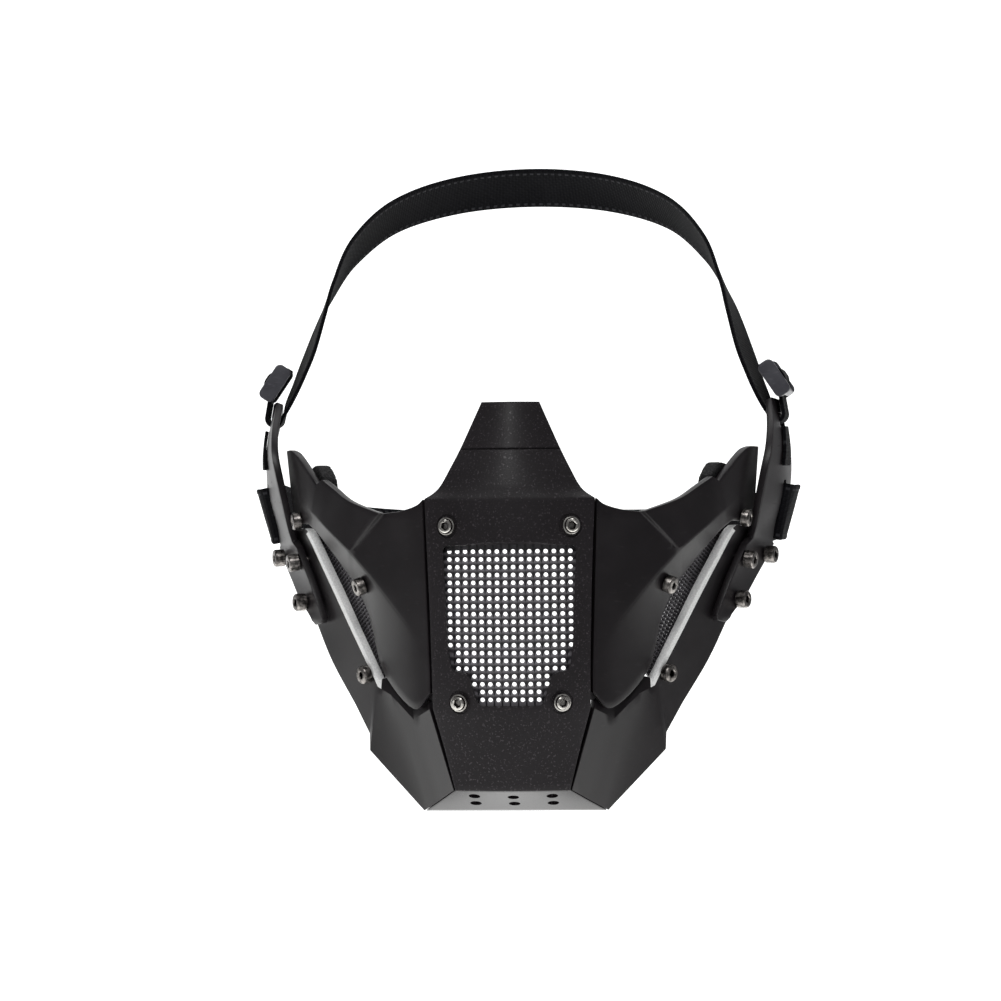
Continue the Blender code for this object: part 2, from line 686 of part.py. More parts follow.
def front_sheet(collection):
    """Perforated sheet behind the mesh window, with solid borders for the screws."""
    left, right = -WINDOW_HALF[0][0], WINDOW_HALF[0][0]
    top, foot = WINDOW_HALF[0][1], WINDOW_HALF[-1][1]
    pitch_x = (right - left) * SHEET_FILL[0] / FRONT_COLUMNS
    pitch_z = (top - foot) * SHEET_FILL[1] / FRONT_ROWS
    start = -pitch_x * FRONT_COLUMNS / 2
    head = (top + foot + pitch_z * FRONT_ROWS) / 2
    xs = [start - SHEET_BORDER]
    xs += [start + pitch_x * k for k in range(FRONT_COLUMNS + 1)]
    xs.append(SHEET_BORDER - start)
    zs = [top + SHEET_HEAD, head]
    zs += [head - pitch_z * k for k in range(1, FRONT_ROWS + 1)]
    zs.append(foot - SHEET_BORDER)
    setback = SHELL_WALL * SHEET_SETBACK + FIT_GAP * 2
    lines = []
    for z in zs:
        lines.append([centre_point(x, z) + Vector((0, setback, 0)) for x in xs])
    open_cells = set()
    for r in range(1, len(zs) - 2):
        for c in range(1, len(xs) - 2):
            middle_x = abs(xs[c] + xs[c + 1]) / 2
            middle_z = (zs[r] + zs[r + 1]) / 2
            narrow = middle_z < WINDOW_HALF[2][1]
            if not narrow or middle_x < WINDOW_HALF[4][0]:
                open_cells.add((r, c))
    return perforated("front_mesh", lines, open_cells, SHEET_WALL,
                      lambda point, normal: Vector((0, 1, 0)), collection, BLACK_STEEL)


def build_centre(parts, guides):
    """Centre shell, window sheet and the four screws round the window."""
    skin = centre_skin()
    shell = inward_shell("centre_shell", skin, SHELL_WALL, parts, BLACK_TEXTURED)
    cut(shell, window_cutter(guides))
    for cutter in vent_cutters(guides):
        cut(shell, cutter)
    sheet = front_sheet(parts)
    mesh = screw_mesh("front_screw", LOW_HEAD_HEIGHT)
    number = 0
    for x, z in FRONT_SCREWS:
        for side in (-1, 1):
            number += 1
            name = "front_screw_%d" % number
            point = centre_point(x * side, z)
            across = centre_point(x * side + 0.5, z) - centre_point(x * side - 0.5, z)
            up = centre_point(x * side, z + 0.5) - centre_point(x * side, z - 0.5)
            normal = across.cross(up).normalized()
            screw_hole(name, [shell, sheet], point, normal, guides, seat=True)
            place_screw(name, mesh, point - normal * SEAT_SINK, normal, parts, GUNMETAL)


def cheek_row(section, side):
    """One line across the cheek, rounded over the crest."""
    eye, crest, lower = [flip(at(*corner), side) for corner in section]
    before = crest.lerp(eye, CREST_ROUND)
    after = crest.lerp(lower, CREST_ROUND * 2)
    middle = (before + after) / 4 + crest / 2
    upper_face = [eye.lerp(crest, share) for share in UPPER_FACE]
    return [eye, *upper_face, before, middle, after, crest.lerp(lower, LOWER_FACE), lower]


def cheek_skin(side):
    """Grid of a cheek: the inner panel, the step and the wing."""
    rows = []
    for sections, steps in ((CHEEK_INNER, INNER_STEPS), (CHEEK_WING, 1)):
        lines = [cheek_row(section, side) for section in sections]
        columns = [through(list(column), steps) for column in zip(*lines)]
        rows += [list(line) for line in zip(*columns)]
    return Skin(rows)


def jaw_skin(side):
    """Grid of a jaw: tucked edge, bend and flat facets down to the lower edge."""
    rows = []
    for section in JAW_SECTIONS:
        top, bend, lower = [flip(at(*corner), side) for corner in section]
        line = [top]
        for step in range(JAW_STEPS + 1):
            line.append(bend.lerp(lower, step / JAW_STEPS))
        rows.append(line)
    return Skin(rows)


def arm_inner_rows(side):
    """Grid of the arm's inner face, slightly bowed outward."""
    rows = []
    for row in ARM_ROWS:
        front = at(row.front[0], row.front[1], row.z)
        back = at(row.back[0], row.back[1], row.z)
        seated = row.z < ARM_ROWS[SEATED_ROWS].z
        outward = Vector((back.y - front.y, front.x - back.x, 0)).normalized()
        line = []
        for column in range(ARM_COLUMNS + 1):
            share = column / ARM_COLUMNS
            bow = 0 if seated else ARM_BOW * math.sin(math.pi * share)
            line.append(flip(front.lerp(back, share) + outward * (bow + FIT_GAP), side))
        rows.append(line)
    return rows


def outward_plan(point, normal):
    """Direction out of the head's side for an arm point."""
    if normal.dot(towards_core(point)) > 0:
        return -normal
    return normal


def arm_skin(side):
    """Outer face of the arm."""
    return Skin(thicken(arm_inner_rows(side), ARM_WALL, outward_plan))


def slot_frame(skin, place):
    """Frame on the arm's outer face with X along the arm and Y up."""
    point = skin.point(*place)
    normal = skin.normal(*place)
    return frame_at(point, normal)


def build_cheek(side, tag, parts, guides):
    """Cheek shell with its blade screw and wing screw."""
    skin = cheek_skin(side)
    shell = inward_shell("cheek_" + tag, skin, SHELL_WALL, parts, BLACK_SMOOTH)
    mesh = screw_mesh("cheek_screw", SIDE_HEAD_HEIGHT)
    spots = (("blade_screw_", BLADE_SCREW[0] * INNER_STEPS, BLADE_SCREW[1]),
             ("wing_screw_", WING_START + WING_SCREW[0], WING_SCREW[1]))
    for label, row, across in spots:
        point = skin.point(row, across)
        normal = skin.normal(row, across)
        screw_hole(label + tag, [shell], point, normal, guides)
        place_screw(label + tag, mesh, point, normal, parts, BLACK_STEEL)


def build_jaw(side, tag, parts, guides):
    """Jaw shell with its screw under the opening."""
    skin = jaw_skin(side)
    shell = inward_shell("jaw_" + tag, skin, JAW_WALL, parts, BLACK_SMOOTH)
    point = skin.point(*JAW_SCREW)
    normal = skin.normal(*JAW_SCREW)
    screw_hole("jaw_screw_" + tag, [shell], point, normal, guides)
    mesh = screw_mesh("jaw_screw", SIDE_HEAD_HEIGHT)
    place_screw("jaw_screw_" + tag, mesh, point, normal, parts, BLACK_STEEL)
    return shell


def along_line(points, share):
    """Point at a share of a polyline's length."""
    lengths = [(end - start).length for start, end in zip(points, points[1:])]
    left = share * sum(lengths)
    for start, end, length in zip(points, points[1:], lengths):
        if left <= length:
            return start.lerp(end, left / length)
        left -= length
    return points[-1].copy()


def build_side_sheet(side, tag, parts):
    """Perforated strip behind the gap between the blade and the jaw's cut edge."""
    sections = CHEEK_INNER[BLADE_SKIP_COUNT:] + CHEEK_WING[1:WING_KEEP_COUNT]
    blade = [flip(at(*section.lower), side) for section in sections]
    edge = [flip(at(*section.top), side) for section in JAW_SECTIONS[EDGE_SKIP_COUNT:-2]]
    lines = []
    for row in range(SIDE_ROWS + 1):
        share = SIDE_START + (1 - SIDE_START) * row / SIDE_ROWS
        front = along_line(blade, share)
        back = along_line(edge, share)
        front += towards_core(front) * (SHELL_WALL * SIDE_SETBACK[0] + FIT_GAP * 2)
        back += towards_core(back) * (JAW_WALL * SIDE_SETBACK[1] + FIT_GAP * 2)
        reach = (back - front).normalized() * SIDE_OVERLAP
        front -= reach
        back += reach
        lines.append([front.lerp(back, c / SIDE_COLUMNS) for c in range(SIDE_COLUMNS + 1)])
    open_cells = {(r, c) for r in range(SIDE_ROWS) for c in range(SIDE_COLUMNS)}
    perforated("side_mesh_" + tag, lines, open_cells, SHEET_WALL,
               lambda point, normal: towards_core(point), parts, BLACK_STEEL)


def build_arm(side, tag, jaw_shell, parts, guides):
    """Side arm with its three cap screws and two strap slots."""
    skin = arm_skin(side)
    inner = arm_inner_rows(side)
    arm = add_object("arm_" + tag, solid_between(skin.rows, inner), parts, BLACK_SMOOTH)
    mesh = screw_mesh("arm_screw", HEAD_HEIGHT)
    for number, place in enumerate(ARM_SCREWS):
        name = "arm_screw_%s_%d" % (tag, number + 1)
        point = skin.point(*place)
        normal = skin.normal(*place)
        screw_hole(name, [arm, jaw_shell], point, normal, guides)
        place_screw(name, mesh, point, normal, parts, BLACK_STEEL)
    slots = (("upper", UPPER_SLOT, (UPPER_WIDTH + SLOT_PLAY * 2, SLOT_HEIGHT)),
             ("lower", LOWER_SLOT, (SLOT_HEIGHT, LOWER_WIDTH + SLOT_PLAY * 2)))
    for label, place, (wide, tall) in slots:
        cutter = box_cutter("%s_slot_%s" % (label, tag), slot_frame(skin, place),
                            (wide, tall, ARM_WALL * 6), guides)
        cut(arm, cutter)


def ribbon_solid(path, leans, width, thick):
    """Closed bmesh of a flat band along a path, each point with its width direction."""
    bm = bmesh.new()
    rings = []
    last = len(path) - 1
    for k, (point, lean) in enumerate(zip(path, leans)):
        tangent = (path[min(k + 1, last)] - path[max(k - 1, 0)]).normalized()
        across = (lean - tangent * lean.dot(tangent)).normalized()
        normal = tangent.cross(across).normalized()
        corners = []
        for a, b in ((-1, -1), (1, -1), (1, 1), (-1, 1)):
            corners.append(bm.verts.new(point + across * (a * width / 2)
                                        + normal * (b * thick / 2)))
        rings.append(corners)
    for first, second in zip(rings, rings[1:]):
        for k in range(4):
            after = (k + 1) % 4
            bm.faces.new((first[k], first[after], second[after], second[k]))
    bm.faces.new(rings[0])
    bm.faces.new(rings[-1])
    return bm


def bend(centre, radius, start, end, flatten=1.0):
    """Points of an arc in a plane of (along, out), angles in degrees from the out direction."""
    points = []
    for step in range(BEND_STEPS + 1):
        turn = math.radians(start + (end - start) * step / BEND_STEPS)
        points.append((centre[0] + radius * math.sin(turn) * flatten,
                       centre[1] + radius * math.cos(turn)))
    return points


def laid_out(frame, along, plan):
    """Points in space for a plan of (along, out) pairs on a frame."""
    turn = frame.to_3x3()
    way, out = turn.col[along], turn.col[2]
    if along == 0 and way.y < 0:
        way = -way
    return [frame.translation + way * a + out * b for a, b in plan]


def tail_frame(frame):
    """Frame of the tail: from the knee above the arm's top it leans inward."""
    knee = Matrix.Translation((0, TAIL_KNEE, WEBBING / 2 + TAIL_GAP))
    lean = Matrix.Rotation(math.radians(-TAIL_LEAN), 4, "X")
    return frame @ knee @ lean


def upper_strap_route():
    """Right half of the upper strap: tail, slider, arm slot and head, with width directions."""
    frame = slot_frame(arm_skin(1), UPPER_SLOT)
    tail = tail_frame(frame)
    radius = (WEBBING + SLIDER_THICK) / 2 + FIT_GAP
    pitch = SLIDER_BAR + SLIDER_SLOT
    high = SLIDER_CENTRE - TAIL_KNEE + pitch / 2
    low = high - pitch
    plan = [(TAIL_RISE - TAIL_KNEE, 0)]
    plan += bend((high + radius, radius), radius, 180, 270)
    plan += bend((high - radius, radius), radius, 90, 0)[1:]
    plan += bend((low + radius, radius), radius, 0, -90)
    plan += bend((low - radius, radius), radius, 90, 180)[1:]
    points = laid_out(tail, 1, plan)
    leans = [tail.to_3x3().col[0]] * len(points)
    inner = WEBBING / 2 + TAIL_GAP
    lip = SLOT_HEIGHT / 2
    turn_radius = inner + ARM_WALL / 2
    plan = [(TAIL_KNEE, inner)]
    plan += bend((lip, -ARM_WALL / 2), turn_radius, 0, -90)
    plan += bend((lip, -ARM_WALL / 2), turn_radius, -90, -180)[1:]
    points += laid_out(frame, 1, plan)
    leans += [frame.to_3x3().col[0]] * len(plan)
    route = to_middle([points[-1]] + [at(*corner) for corner in UPPER_ROUTE])
    turns = to_middle([leans[-1]] + [Vector(lean) for lean in UPPER_LEAN])
    return points[:-1] + route, leans[:-1] + turns


def lower_strap_route():
    """Right half of the lower strap: folded end, arm slot and nape, with width directions."""
    frame = slot_frame(arm_skin(1), LOWER_SLOT)
    inner = WEBBING / 2 + STRAP_GAP
    lip = SLOT_HEIGHT / 2
    turn_radius = inner + ARM_WALL / 2
    bulge = inner + FOLD_BULGE
    plan = [(FOLD_END, inner), (FOLD_END * 0.6, inner + FOLD_BULGE * 0.7), (lip, bulge)]
    outside = bend((lip, -ARM_WALL / 2), bulge + ARM_WALL / 2, 0, -90, turn_radius
                   / (bulge + ARM_WALL / 2))
    plan += outside[1:]
    plan += bend((lip, -ARM_WALL / 2), turn_radius, -90, -180)[1:]
    points = laid_out(frame, 0, plan)
    up, out = frame.to_3x3().col[1], frame.to_3x3().col[2]
    splayed = len(points) - BEND_STEPS * 2
    leans = [up + out * FOLD_SPLAY] * splayed + [up] * (BEND_STEPS * 2)
    route = to_middle([points[-1]] + [at(*corner) for corner in LOWER_ROUTE])
    turns = to_middle([leans[-1]] + [Vector(lean) for lean in LOWER_LEAN])
    return points[:-1] + route, leans[:-1] + turns


def build_strap(name, route, width, parts):
    """Whole strap: the right half, and its mirror image joined at the back."""
    points, leans = route
    points += [flip(point, -1) for point in reversed(points[:-1])]
    leans += [flip(lean, -1) for lean in reversed(leans[:-1])]
    add_object(name, ribbon_solid(points, leans, width, WEBBING), parts, BLACK_WEBBING)


def cell_solid(lines, is_solid):
    """Closed solid of the filled cells between three sets of crossing planes."""
    bm = bmesh.new()
    corners = {}

    def corner(place):
        if place not in corners:
            corners[place] = bm.verts.new([line[n] for line, n in zip(lines, place)])
        return corners[place]

    def is_filled(cell):
        inside = all(0 <= n < len(line) - 1 for line, n in zip(lines, cell))
        return inside and is_solid(*cell)

    def moved(cell, axis, step):
        return tuple(n + step * (k == axis) for k, n in enumerate(cell))

    for cell in itertools.product(*(range(len(line) - 1) for line in lines)):
        for axis, step in itertools.product(range(3), (0, 1)):
            if not is_filled(cell) or is_filled(moved(cell, axis, 2 * step - 1)):
                continue
            first = moved(cell, axis, step)
            second = moved(first, (axis + 1) % 3, 1)
            ring = [first, second, moved(second, (axis + 2) % 3, 1), moved(first, (axis + 2) % 3, 1)]
            bm.faces.new([corner(place) for place in (ring if step else ring[::-1])])
    return bm


def build_slider(side, tag, parts):
    """Three-bar slider outside the strap's tail: bars between two deeper side rails."""
    tail = tail_frame(slot_frame(arm_skin(side), UPPER_SLOT))
    lift = WEBBING / 2 + FIT_GAP + SLIDER_THICK / 2
    centre = tail @ Matrix.Translation((0, SLIDER_CENTRE - TAIL_KNEE, lift))
    opening = UPPER_WIDTH / 2 + FIT_GAP
    end = SLIDER_BAR * 1.5 + SLIDER_SLOT
    half = SLIDER_THICK / 2
    lines = [
        (-opening - SLIDER_SIDE, -opening, opening, opening + SLIDER_SIDE),
        (-end, SLIDER_BAR - end, -SLIDER_BAR / 2, SLIDER_BAR / 2, end - SLIDER_BAR, end),
        (-SLIDER_RAIL / 2 - RAIL_SHIFT, -half, half, SLIDER_RAIL / 2 - RAIL_SHIFT),
    ]
    bm = cell_solid(lines, lambda across, up, out: across != 1 or (out == 1 and up % 2 == 0))
    for vertex in bm.verts:
        if abs(vertex.co.y) > end - SLIDER_BAR / 2 and abs(vertex.co.z) > half * 1.01:
            vertex.co.y -= math.copysign(RAIL_ROUND, vertex.co.y)
    bmesh.ops.transform(bm, matrix=centre, verts=bm.verts)
    add_object("slider_" + tag, bm, parts, GREY_PLASTIC)


def build_keeper(side, tag, parts):
    """Webbing keeper lying on the outside of the arm, between the two slots."""
    skin = arm_skin(side)
    rows = []
    for row in KEEPER_ROWS:
        line = []
        for share in KEEPER_COLUMNS:
            line.append(skin.point(row, share) + skin.normal(row, share) * FIT_GAP)
        rows.append(line)
    outer = thicken(rows, KEEPER_THICK, outward_plan)
    keeper = add_object("keeper_" + tag, solid_between(outer, rows), parts, BLACK_WEBBING)
    round_edges(keeper, KEEPER_THICK * SOFT_SHARE)


def build_pad(side, tag, parts):
    """Foam pad inside the wing, standing a little above the notch in its rim."""
    rows = []
    for section in PAD_SECTIONS:
        top, low = flip(at(*section.top), side), flip(at(*section.low), side)
        rows.append([top, top.lerp(low, 1 / 2), low])
    inner = thicken(rows, PAD_THICK, lambda point, normal: towards_core(point))
    pad = add_object("ear_pad_" + tag, solid_between(rows, inner), parts, BLACK_FOAM)
    round_edges(pad, PAD_THICK * SOFT_SHARE)


def main():
    """Build the whole mask."""
    for old in list(bpy.data.objects):
        bpy.data.objects.remove(old)
    parts = bpy.data.collections.new("mesh_half_face_mask")
    guides = bpy.data.collections.new("cutters")
    for collection in (parts, guides):
        bpy.context.scene.collection.children.link(collection)
    build_centre(parts, guides)
    for side, tag in ((-1, "left"), (1, "right")):
        build_cheek(side, tag, parts, guides)
        jaw_shell = build_jaw(side, tag, parts, guides)
        build_side_sheet(side, tag, parts)
        build_arm(side, tag, jaw_shell, parts, guides)
        build_slider(side, tag, parts)
        build_keeper(side, tag, parts)
        build_pad(side, tag, parts)
    build_strap("upper_strap", upper_strap_route(), UPPER_WIDTH, parts)
    build_strap("lower_strap", lower_strap_route(), LOWER_WIDTH, parts)


main()
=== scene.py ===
"""Mesh half face mask, dressed for the photograph: shells, sheets, screws, webbing and foam.

Metres, +Z up, the mask faces -Y and +X is its right side seen from the front.
Tables hold percentages of the three face sizes, as the part's source does, so each piece that
is built here keeps the form of the solid that it replaces.
"""
from __future__ import annotations

import logging
import math
import random
from dataclasses import dataclass, field
from enum import Enum
from typing import Callable, Iterable, NamedTuple, Sequence

import bmesh
import bpy
from mathutils import Matrix, Vector


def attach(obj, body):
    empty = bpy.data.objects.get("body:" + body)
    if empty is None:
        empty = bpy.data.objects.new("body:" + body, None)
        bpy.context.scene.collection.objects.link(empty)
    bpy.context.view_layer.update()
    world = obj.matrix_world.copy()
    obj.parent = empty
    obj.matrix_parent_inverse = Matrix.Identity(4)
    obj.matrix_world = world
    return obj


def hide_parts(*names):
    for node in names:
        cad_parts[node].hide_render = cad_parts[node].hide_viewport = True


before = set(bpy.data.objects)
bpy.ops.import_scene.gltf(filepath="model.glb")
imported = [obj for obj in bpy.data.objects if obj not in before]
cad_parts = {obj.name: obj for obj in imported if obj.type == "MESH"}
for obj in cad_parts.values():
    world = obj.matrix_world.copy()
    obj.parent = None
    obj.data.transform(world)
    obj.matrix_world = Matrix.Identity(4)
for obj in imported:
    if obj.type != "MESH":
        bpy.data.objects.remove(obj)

Rows = list[list[Vector]]
Colour = tuple[float, float, float]
Profile = list[tuple[float, float]]

LOG = logging.getLogger("mask")

# Face sizes that every table follows
HALF_WIDTH = 0.100
DEPTH = 0.100
FACE_DROP = 0.100

# Walls and clearances that several pieces share
SHELL_WALL = 0.0025
JAW_WALL = 0.0030
ARM_WALL = 0.0026
FIT_GAP = 0.0004

# Least share of a wall's direction that counts as square to the surface
LEAST_SQUARE = 0.62

# Rims: width and spans of the round, and the angle in degrees from which an edge gets one
EDGE_ROUND = 0.00045
EDGE_SPANS = 2
HARD_EDGE = 50

# Angles in degrees above which an edge is drawn sharp
SHARP_SHELL = 32
SHARP_PANEL = 38
SHARP_FACET = 24
SHARP_SCREW = 30
SHARP_BAND = 40
SHARP_FOAM = 60

# Distances under which points are one and the same: on a skin, and on a turned piece
SAME_POINT = 1e-7
SAME_TURNED = 1e-6

# Line inside the mask that the shells thicken towards
CORE_DEPTH = 60
CORE_TOP = 20
CORE_FOOT = -90


class Side(Enum):
    """Left and right as the photograph shows them."""

    LEFT = -1
    RIGHT = 1

    @property
    def tag(self) -> str:
        """The word that ends a piece's name."""
        return self.name.lower()


class Slot(Enum):
    """Names of material slots."""

    TEXTURED = "textured_shell"
    SMOOTH = "smooth_shell"
    MESH = "mesh"
    FRONT_SCREWS = "front_screws"
    SIDE_SCREWS = "side_screws"
    WEBBING = "webbing"
    BUCKLE = "buckle"
    FOAM = "foam"


class CentreRow(NamedTuple):
    """Row of the centre shell: height, half width, and depth in the middle and at the sides."""

    z: float
    half: float
    ridge: float
    edge: float


class CheekSection(NamedTuple):
    """Section of a cheek: eye line, crest and lower edge."""

    eye: tuple[float, float, float]
    crest: tuple[float, float, float]
    lower: tuple[float, float, float]


class JawSection(NamedTuple):
    """Section of a jaw: tucked or cut edge, bend and lower edge."""

    top: tuple[float, float, float]
    bend: tuple[float, float, float]
    lower: tuple[float, float, float]


class PadSection(NamedTuple):
    """Section of an ear pad: its outer face's top and low corners."""

    top: tuple[float, float, float]
    low: tuple[float, float, float]


class ArmRow(NamedTuple):
    """Row of a side arm's inner face: height, then front and back edge in plan."""

    z: float
    front: tuple[float, float]
    back: tuple[float, float]


# Centre shell from the bridge of the nose down to the chin and back under it
CENTRE_ROWS = [
    CentreRow(9.0, 10.6, 0.5, 5.0),
    CentreRow(0.5, 14.4, -3.2, 3.4),
    CentreRow(-8.3, 18.4, -7.0, 1.8),
    CentreRow(-15.0, 21.8, -9.6, -0.5),
    CentreRow(-20.8, 24.9, -11.6, -2.2),
    CentreRow(-23.8, 27.4, -12.4, -3.2),
    CentreRow(-26.2, 31.0, -13.0, -4.2),
    CentreRow(-34.0, 30.7, -13.6, -5.2),
    CentreRow(-42.0, 30.3, -14.0, -5.6),
    CentreRow(-67.0, 29.4, -13.6, -5.0),
    CentreRow(-90.0, 28.9, -12.2, -3.6),
    CentreRow(-102.5, 28.8, -11.0, -2.0),
    CentreRow(-117.5, 24.7, -7.6, -1.0),
    CentreRow(-132.5, 21.0, -4.2, 0.0),
    CentreRow(-137.0, 27.2, 7.0, 9.2),
    CentreRow(-141.3, 33.4, 17.4, 18.4),
]

# Mesh window: right half of its outline from the top down
WINDOW_HALF = [(24.3, -43.3), (22.7, -80.0), (21.4, -88.6), (15.3, -89.6), (11.6, -101.4)]

# Screws round the window: those on the right, the left ones mirror them
FRONT_SCREWS = [(22.4, -36.2), (18.5, -100.2)]

# Cheek from the centre shell out to the root of the wing, then along the wing
CHEEK_INNER = [
    CheekSection((31.8, -3.8, -26.3), (29.7, -2.6, -90.0), (29.7, -2.2, -97.0)),
    CheekSection((34.0, -2.4, -28.3), (35.4, 1.0, -76.6), (36.5, 4.0, -103.0)),
    CheekSection((37.8, -0.4, -29.8), (43.4, 6.0, -66.0), (49.0, 20.0, -90.0)),
    CheekSection((42.2, 2.8, -30.8), (52.4, 11.5, -55.0), (54.5, 23.5, -69.5)),
    CheekSection((46.8, 6.6, -31.3), (60.7, 18.4, -46.0), (60.5, 28.2, -57.0)),
]
CHEEK_WING = [
    CheekSection((48.6, 5.4, -31.3), (61.2, 18.3, -45.4), (61.1, 28.6, -56.2)),
    CheekSection((61.0, 19.5, -26.8), (69.0, 28.0, -38.6), (69.0, 36.0, -46.6)),
    CheekSection((68.2, 29.8, -22.0), (73.4, 34.8, -34.6), (73.6, 41.0, -41.2)),
    CheekSection((73.2, 36.2, -18.6), (76.2, 39.8, -32.0), (76.2, 44.6, -38.4)),
    CheekSection((75.6, 39.0, -20.3), (77.8, 42.6, -30.8), (77.8, 46.6, -37.0)),
    CheekSection((79.6, 44.2, -15.0), (80.4, 48.0, -28.4), (80.4, 50.6, -35.2)),
    CheekSection((84.2, 50.6, -9.4), (83.2, 53.5, -26.4), (82.7, 55.6, -35.3)),
    CheekSection((87.2, 56.0, -7.4), (85.4, 59.5, -25.2), (84.3, 61.4, -35.4)),
    CheekSection((90.0, 67.2, -7.3), (88.7, 70.2, -25.0), (87.6, 71.6, -35.4)),
]

# Jaw from under the chin to the ear, and those of its sections that border the side opening
JAW_SECTIONS = [
    JawSection((30.4, 2.4, -98.6), (30.0, -1.2, -102.8), (21.5, 0.4, -132.6)),
    JawSection((37.2, 10.6, -101.6), (36.9, 9.0, -107.0), (27.7, 9.6, -137.0)),
    JawSection((45.8, 20.6, -91.6), (45.6, 15.8, -98.4), (34.0, 18.0, -141.3)),
    JawSection((51.0, 22.0, -93.0), (51.3, 22.7, -95.6), (55.1, 28.8, -119.6)),
    JawSection((52.2, 23.0, -90.6), (52.7, 23.8, -92.6), (55.3, 30.4, -113.4)),
    JawSection((53.8, 24.2, -87.6), (54.6, 25.4, -89.1), (61.2, 36.4, -102.8)),
    JawSection((60.3, 29.4, -75.0), (61.3, 31.0, -76.2), (70.6, 45.5, -87.4)),
    JawSection((67.6, 36.0, -60.6), (68.6, 37.9, -61.9), (77.2, 54.5, -73.6)),
    JawSection((73.7, 42.6, -49.4), (74.6, 44.8, -50.6), (83.0, 65.0, -61.0)),
    JawSection((80.2, 50.4, -38.0), (81.0, 53.1, -39.1), (88.5, 77.0, -48.0)),
    JawSection((84.4, 62.4, -37.2), (85.1, 64.6, -37.7), (91.0, 84.0, -41.8)),
    JawSection((88.4, 74.6, -37.0), (88.8, 75.9, -37.2), (92.4, 88.0, -38.8)),
]
OPENING_SECTIONS = slice(3, -2)

# Ear pad from front to back
PAD_SECTIONS = [
    PadSection((72.2, 38.5, -18.6), (70.8, 39.9, -25.6)),
    PadSection((74.4, 41.9, -14.6), (72.8, 43.1, -25.8)),
    PadSection((76.4, 44.9, -13.4), (74.6, 46.3, -25.8)),
    PadSection((79.6, 49.7, -14.8), (78.2, 50.9, -24.8)),
]

# Arm from its foot on the jaw to its top above the ear
ARM_ROWS = [
    ArmRow(-72.4, (72.2, 45.2), (74.8, 49.8)),
    ArmRow(-70.6, (71.5, 43.8), (77.0, 52.2)),
    ArmRow(-64.0, (73.9, 46.6), (82.0, 61.8)),
    ArmRow(-56.0, (77.0, 50.3), (86.4, 71.2)),
    ArmRow(-48.0, (80.6, 55.2), (90.9, 81.8)),
    ArmRow(-43.8, (82.5, 58.4), (93.2, 89.4)),
    ArmRow(-41.2, (84.8, 62.6), (94.4, 92.6)),
    ArmRow(-36.0, (86.3, 62.0), (95.9, 95.4)),
    ArmRow(-26.0, (88.2, 59.6), (98.4, 101.0)),
    ArmRow(-16.0, (90.2, 58.6), (99.4, 104.0)),
    ArmRow(-8.0, (91.9, 61.0), (99.0, 105.6)),
    ArmRow(0.0, (92.6, 67.6), (97.2, 106.4)),
    ArmRow(7.0, (92.4, 75.8), (95.7, 106.2)),
    ArmRow(10.6, (92.3, 80.6), (94.9, 102.6)),
]

# Straps: the right half from the arm to the middle plane, and the way its width lies there
UPPER_ROUTE = [
    (91.6, 93.6, 12.0), (88.2, 96.4, 20.5), (84.9, 100.0, 30.0), (80.4, 106.0, 45.0),
    (76.7, 111.0, 56.0), (69.0, 122.0, 72.0), (54.0, 141.0, 87.0),
    (30.0, 157.0, 96.0), (0.0, 163.0, 99.0),
]
UPPER_LEAN = [
    (0.21, 0.98, 0.0), (0.28, 0.95, -0.08),
    (0.33, 0.93, -0.15), (0.26, 0.94, -0.22), (0.16, 0.94, -0.30), (0.03, 0.90, -0.42),
    (0.0, 0.84, -0.54), (0.0, 0.76, -0.65), (0.0, 0.72, -0.69),
]
LOWER_ROUTE = [
    (98.5, 124.0, -31.0), (91.0, 146.0, -34.4), (74.0, 168.0, -38.4),
    (42.0, 184.0, -39.3), (0.0, 190.0, -38.1),
]
LOWER_LEAN = [(0.0, 0.08, 0.99), (0.0, 0.26, 0.96), (0.0, 0.52, 0.85), (0.0, 0.70, 0.71),
              (0.0, 0.72, 0.69)]
UPPER_WIDTH = 0.020
LOWER_WIDTH = 0.022
WEBBING = 0.0015
ROUTE_STEPS = 10
BEND_STEPS = 7

# Tail of the upper strap outside the arm: heights over the slot, lean in degrees, and its gap
TAIL_RISE = 0.0236
TAIL_KNEE = 0.0098
TAIL_LEAN = 24
TAIL_GAP = 0.0008

# Folded end of the lower strap outside the arm
STRAP_GAP = 0.0010
FOLD_END = 0.0125
FOLD_BULGE = 0.0004
FOLD_SPLAY = 0.05

# Half of the webbing's cross-section, as shares of its width and thickness
STRAP_SECTION = [
    (-0.500, 0.00), (-0.494, 0.34), (-0.470, 0.50), (-0.430, 0.50), (-0.405, 0.40),
    (0.0, 0.44), (0.405, 0.40), (0.430, 0.50), (0.470, 0.50), (0.494, 0.34),
]


def at(x: float, y: float, z: float) -> Vector:
    """A point from its shares of the face sizes."""
    return Vector((HALF_WIDTH * x / 100, DEPTH * y / 100, FACE_DROP * z / 100))


def flip(point: Vector, side: Side) -> Vector:
    """The point itself on the right, its mirror image on the left."""
    return Vector((point.x * side.value, point.y, point.z))


def towards_core(point: Vector) -> Vector:
    """Unit direction from a point of the skin to the line inside the mask."""
    foot = FACE_DROP * CORE_FOOT / 100
    top = FACE_DROP * CORE_TOP / 100
    target = Vector((0, DEPTH * CORE_DEPTH / 100, min(max(point.z, foot), top)))
    return (target - point).normalized()


